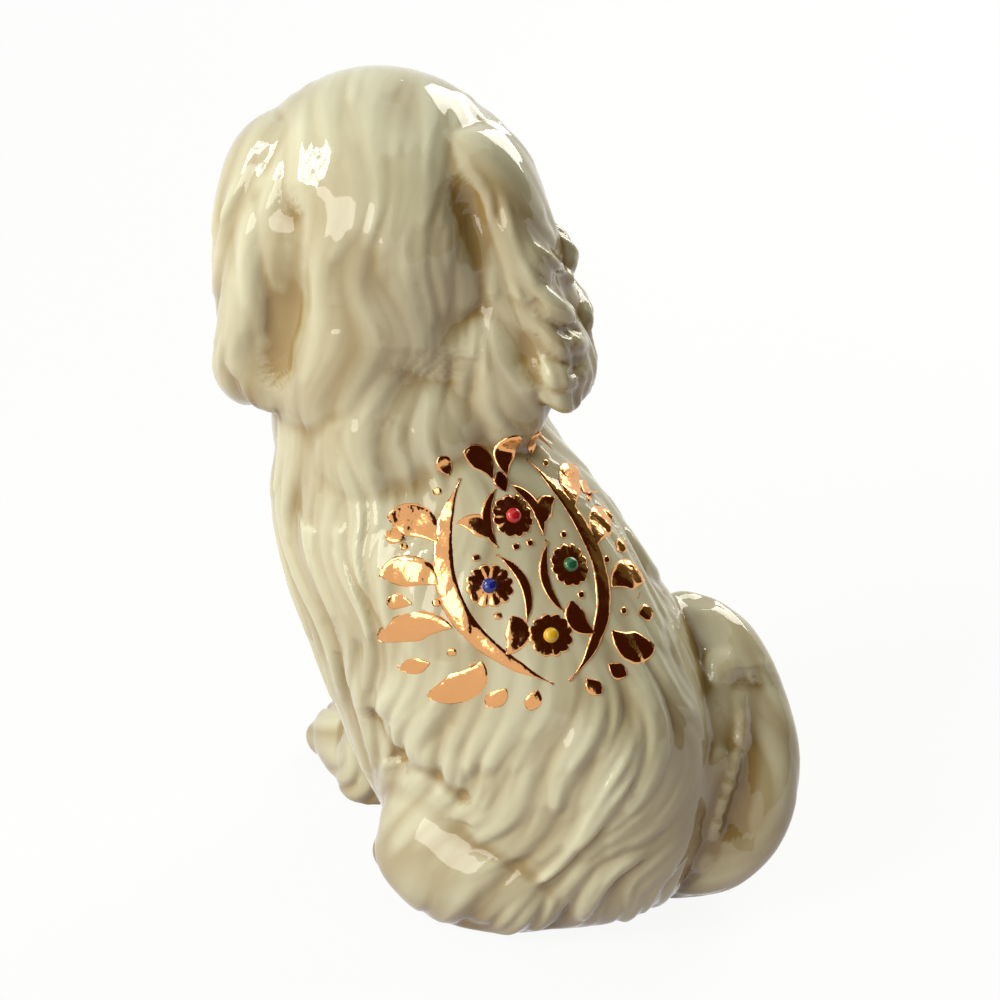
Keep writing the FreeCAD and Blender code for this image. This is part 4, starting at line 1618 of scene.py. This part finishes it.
@dataclass(frozen=True)
class Enamel:
    """Opaque coloured enamel, laid on thick and fired glossy, lengths in millimetres.

    A flat strong colour with a small bright highlight and a faint orange-peel skin.
    """

    name: str
    colour: str
    roughness: float = 0.12
    ior: float = 1.55
    speck: float = 0.6
    speck_depth: float = 0.08
    deep: float = 0.72

    def material(self) -> bpy.types.Material:
        """Build the material.

        Returns:
            It, under the finish's own name.
        """
        made = new_material(self.name)
        tree = made.node_tree
        place = add_node(tree, "ShaderNodeTexCoord")
        # Grains of pigment that didn't quite melt. Real ones are far finer, and these are
        # drawn as coarse as they need to be to show.
        speck = add_node(tree, "ShaderNodeTexNoise", {
            "Vector": place.outputs["Object"], "Scale": 1 / (self.speck * MM)})
        full = linear(self.colour)
        deep = tuple(c * self.deep for c in full[:3]) + (1.0,)
        colour = add_node(tree, "ShaderNodeMix", {0: speck.outputs["Fac"], 6: deep, 7: full},
                          data_type="RGBA")
        bump = add_node(tree, "ShaderNodeBump", {
            "Height": speck.outputs["Fac"], "Strength": 0.15,
            "Distance": self.speck_depth * MM})
        shader = add_node(tree, "ShaderNodeBsdfPrincipled", {
            "Base Color": colour.outputs[2], "Roughness": self.roughness, "IOR": self.ior,
            "Normal": bump.outputs["Normal"]})
        add_node(tree, "ShaderNodeOutputMaterial", {"Surface": shader.outputs["BSDF"]})
        return made


@dataclass(frozen=True)
class BareClay:
    """Fired clay wiped clean of glaze, lengths in millimetres.

    Matt and slightly gritty, a little soiled where the figure has stood on shelves.
    """

    colour: str = "DDD6C2"
    soil: str = "B9AE95"
    roughness: float = 0.85
    stain: float = 14.0
    grit: float = 0.7
    grit_depth: float = 0.15

    def material(self) -> bpy.types.Material:
        """Build the material.

        Returns:
            It, without any gloss.
        """
        made = new_material("unglazed_fired_clay")
        tree = made.node_tree
        place = add_node(tree, "ShaderNodeTexCoord")
        cloud = add_node(tree, "ShaderNodeTexNoise", {
            "Vector": place.outputs["Object"], "Scale": 1 / (self.stain * MM), "Detail": 5.0})
        # Real grit is about 0.1 mm, too fine to show, and is drawn coarser.
        grit = add_node(tree, "ShaderNodeTexNoise", {
            "Vector": place.outputs["Object"], "Scale": 1 / (self.grit * MM), "Detail": 2.0})
        colour = add_node(tree, "ShaderNodeMix", {
            0: cloud.outputs["Fac"], 6: linear(self.soil), 7: linear(self.colour)},
            data_type="RGBA")
        bump = add_node(tree, "ShaderNodeBump", {
            "Height": grit.outputs["Fac"], "Strength": 0.5, "Distance": self.grit_depth * MM})
        shader = add_node(tree, "ShaderNodeBsdfPrincipled", {
            "Base Color": colour.outputs[2], "Roughness": self.roughness,
            "Normal": bump.outputs["Normal"]})
        add_node(tree, "ShaderNodeOutputMaterial", {"Surface": shader.outputs["BSDF"]})
        return made


@dataclass
class Studio:
    """Camera, floor, window light and cards round the figure, in millimetres and degrees."""

    target: Place = (-1.8, 0.0, 87.0)
    azimuth: float = 190.0
    elevation: float = 28.0
    distance: float = 450.0
    lens: float = 77.76
    room_light: float = 0.28
    room_tint: str = "EFE9DC"
    pane_size: Flat = (80, 120)
    pane_pitch: Flat = (92, 135)
    pane_power: float = 0.42
    floor_radius: float = 4000.0
    floor_drop: float = 0.05
    floor_tint: str = "F4F2EE"  # as the camera and the gloss see it
    floor_bounce: str = "83603C"  # as it lights the figure from below
    fade: Flat = (200.0, 1200.0)  # distances between which it goes to white
    shadow_share: float = 0.92  # of white already mixed in under the figure

    def station(self, azimuth: float, elevation: float, distance: float) -> Vector:
        """Find a place on a sphere round the target.

        Args:
            azimuth: Direction from the target, where 0 looks along +Y.
            elevation: Height above the horizon.
            distance: How far away.

        Returns:
            The place, in metres.
        """
        a, e = math.radians(azimuth), math.radians(elevation)
        way = Vector((math.sin(a) * math.cos(e), -math.cos(a) * math.cos(e), math.sin(e)))
        return (Vector(self.target) + way * distance) * MM

    def aim(self, thing: bpy.types.Object, place: Vector) -> None:
        """Put a lamp, a card or the camera where it faces the target.

        Args:
            thing: What is placed.
            place: Where, in metres.
        """
        thing.location = place
        ahead = Vector(self.target) * MM - place
        thing.rotation_euler = ahead.to_track_quat("-Z", "Y").to_euler()

    def camera(self) -> None:
        """Make the camera at the photograph's viewing angle."""
        data = bpy.data.cameras.new("camera")
        data.lens = self.lens
        data.sensor_width = 36.0
        data.clip_start, data.clip_end = 0.01, 20.0
        made = bpy.data.objects.new("camera", data)
        bpy.context.scene.collection.objects.link(made)
        self.aim(made, self.station(self.azimuth, self.elevation, self.distance))
        bpy.context.scene.camera = made

    def lamp(self, name: str, azimuth: float, elevation: float, distance: float, size: Flat,
             power: float, colour: str, shift: Flat = (0.0, 0.0)) -> None:
        """Hang one rectangular soft light.

        Args:
            name: Its name.
            azimuth: Its direction round the figure.
            elevation: Its height above the horizon.
            distance: How far from the target.
            size: Width and height.
            power: In watts.
            colour: As an sRGB hex value.
            shift: Moves it sideways and up in its own plane.
        """
        data = bpy.data.lights.new(name, "AREA")
        data.shape = "RECTANGLE"
        data.size, data.size_y = size[0] * MM, size[1] * MM
        data.energy = power
        data.color = linear(colour)[:3]
        made = bpy.data.objects.new(name, data)
        bpy.context.scene.collection.objects.link(made)
        self.aim(made, self.station(azimuth, elevation, distance))
        bpy.context.view_layer.update()
        made.location = made.matrix_world @ Vector((shift[0] * MM, shift[1] * MM, 0.0))

    def card(self, name: str, azimuth: float, elevation: float, distance: float, size: Flat,
             colour: str) -> None:
        """Stand a coloured card outside the view, for the gloss to mirror.

        Args:
            name: Its name.
            azimuth: Its direction round the figure.
            elevation: Its height above the horizon.
            distance: How far from the target.
            size: Width and height.
            colour: As an sRGB hex value.
        """
        bm = bmesh.new()
        bmesh.ops.create_grid(bm, x_segments=1, y_segments=1, size=0.5)
        bmesh.ops.scale(bm, vec=(size[0] * MM, size[1] * MM, 1.0), verts=bm.verts)
        made = to_object(bm, name, smooth=False)
        self.aim(made, self.station(azimuth, elevation, distance))
        made.visible_camera = made.visible_shadow = made.visible_diffuse = False
        paint = new_material(f"{name}_paint")
        tree = paint.node_tree
        shader = add_node(tree, "ShaderNodeEmission", {"Color": linear(colour), "Strength": 1.0})
        add_node(tree, "ShaderNodeOutputMaterial", {"Surface": shader.outputs[0]})
        made.data.materials.append(paint)

    def shown(self, tree: bpy.types.NodeTree) -> bpy.types.NodeSocket:
        """Tell what the camera and the gloss see from what lights the figure.

        Args:
            tree: The floor's or the room's.

        Returns:
            A socket that is one for camera and glossy rays and zero for all others.
        """
        seen = add_node(tree, "ShaderNodeLightPath")
        either = add_node(tree, "ShaderNodeMath", {
            0: seen.outputs["Is Camera Ray"], 1: seen.outputs["Is Glossy Ray"]},
            operation="MAXIMUM")
        return either.outputs[0]

    def floor(self) -> None:
        """Lay the pale floor, which keeps the figure's shadow and fades into white."""
        bm = bmesh.new()
        bmesh.ops.create_circle(bm, cap_ends=True, cap_tris=True, segments=96,
                                radius=self.floor_radius * MM)
        made = to_object(bm, "floor", smooth=False)
        made.location.z = -self.floor_drop * MM
        paint = new_material("pale_matt_floor")
        tree = paint.node_tree
        shown = self.shown(tree)
        tint = add_node(tree, "ShaderNodeMix", {
            0: shown, 6: linear(self.floor_bounce), 7: linear(self.floor_tint)},
            data_type="RGBA")
        matt = add_node(tree, "ShaderNodeBsdfDiffuse", {"Color": tint.outputs[2]})
        white = add_node(tree, "ShaderNodeEmission", {"Color": linear("FFFFFF"), "Strength": 1.0})
        place = add_node(tree, "ShaderNodeTexCoord")
        apart = add_node(tree, "ShaderNodeVectorMath", {0: place.outputs["Object"]},
                         operation="LENGTH")
        fade = add_node(tree, "ShaderNodeMapRange", {
            0: apart.outputs["Value"], 1: self.fade[0] * MM, 2: self.fade[1] * MM,
            3: self.shadow_share, 4: 1.0})
        share = add_node(tree, "ShaderNodeMath", {0: shown, 1: fade.outputs[0]},
                         operation="MULTIPLY")
        mix = add_node(tree, "ShaderNodeMixShader", {
            0: share.outputs[0], 1: matt.outputs[0], 2: white.outputs[0]})
        add_node(tree, "ShaderNodeOutputMaterial", {"Surface": mix.outputs[0]})
        made.data.materials.append(paint)

    def world(self) -> None:
        """Fill the room with even light behind a white backdrop."""
        world = bpy.data.worlds.new("room")
        bpy.context.scene.world = world
        world.use_nodes = True
        tree = world.node_tree
        tree.nodes.clear()
        room = add_node(tree, "ShaderNodeBackground", {
            "Color": linear(self.room_tint), "Strength": self.room_light})
        white = add_node(tree, "ShaderNodeBackground", {
            "Color": linear("FFFFFF"), "Strength": 1.0})
        mix = add_node(tree, "ShaderNodeMixShader", {
            0: self.shown(tree), 1: room.outputs[0], 2: white.outputs[0]})
        add_node(tree, "ShaderNodeOutputWorld", {"Surface": mix.outputs[0]})

    def build(self) -> None:
        """Set up the whole studio: a window of nine panes, two soft lights and two cards."""
        bpy.context.scene.view_settings.view_transform = "Standard"
        self.camera()
        self.world()
        self.floor()
        for column in (-1, 0, 1):
            for row in (-1, 0, 1):
                shift = (column * self.pane_pitch[0], row * self.pane_pitch[1])
                self.lamp(f"window_pane_{column}_{row}", azimuth=124, elevation=36, distance=800,
                          size=self.pane_size, power=self.pane_power, colour="FFFEF8",
                          shift=shift)
        self.lamp("soft_side", azimuth=150, elevation=14, distance=900, size=(500, 400),
                  power=3.0, colour="FFFCF0")
        self.lamp("soft_front", azimuth=335, elevation=30, distance=900, size=(600, 500),
                  power=5.5, colour="FFFCF2")
        self.card("brown_wall", azimuth=236, elevation=24, distance=600, size=(1200, 1000),
                  colour="3B1F10")
        self.card("olive_wall", azimuth=300, elevation=30, distance=900, size=(500, 700),
                  colour="5A5638")


def dress(piece: bpy.types.Object, node: str, finish: bpy.types.Material) -> None:
    """Give a piece its finish, hang it from the root body and hide the CAD node that it replaces.

    Args:
        piece: The new piece.
        node: The CAD node that it replaces.
        finish: Its material.
    """
    piece.data.materials.clear()
    piece.data.materials.append(finish)
    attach(piece, "root")
    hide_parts(node)
    log.info("%s: %d faces", piece.name, len(piece.data.polygons))


def main() -> None:
    """Build the studio and the figure, piece by piece."""
    logging.basicConfig(level=logging.INFO, format="%(relativeCreated)d ms %(message)s")
    Studio().build()
    clay = Clay()
    skin = clay.model()
    faces = [tuple(p.vertices) for p in skin.mesh.polygons]
    surface = BVHTree.FromPolygons([Vector(p) for p in skin.points], faces)
    ivory = IvoryGlaze().material()
    for cast, piece in clay.cut_apart(skin).items():
        dress(piece, cast, ivory)
    gold = BurnishedGilding().material()
    gilding = Gilding(surface)
    for node, piece in gilding.build().items():
        dress(piece, node, gold)
    for colour in Colour:
        enamel = Enamel(f"{colour.word}_fired_enamel", colour.value).material()
        dress(EnamelBead(colour).build(gilding), f"{colour.word}_enamel_jewel", enamel)
    dark = Enamel("near_black_glaze", "1C1512", 0.06).material()
    for form in (Nose(), Eye("left_eye"), Eye("right_eye")):
        dress(form.build(), form.node, dark)
    # The clay plate underneath is plain, so its CAD node is shown as it is.
    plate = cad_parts[clay.plate]
    plate.data.materials.clear()
    plate.data.materials.append(BareClay().material())
    log.info("%s: %d faces", plate.name, len(plate.data.polygons))


if __name__ == "__main__":
    main()
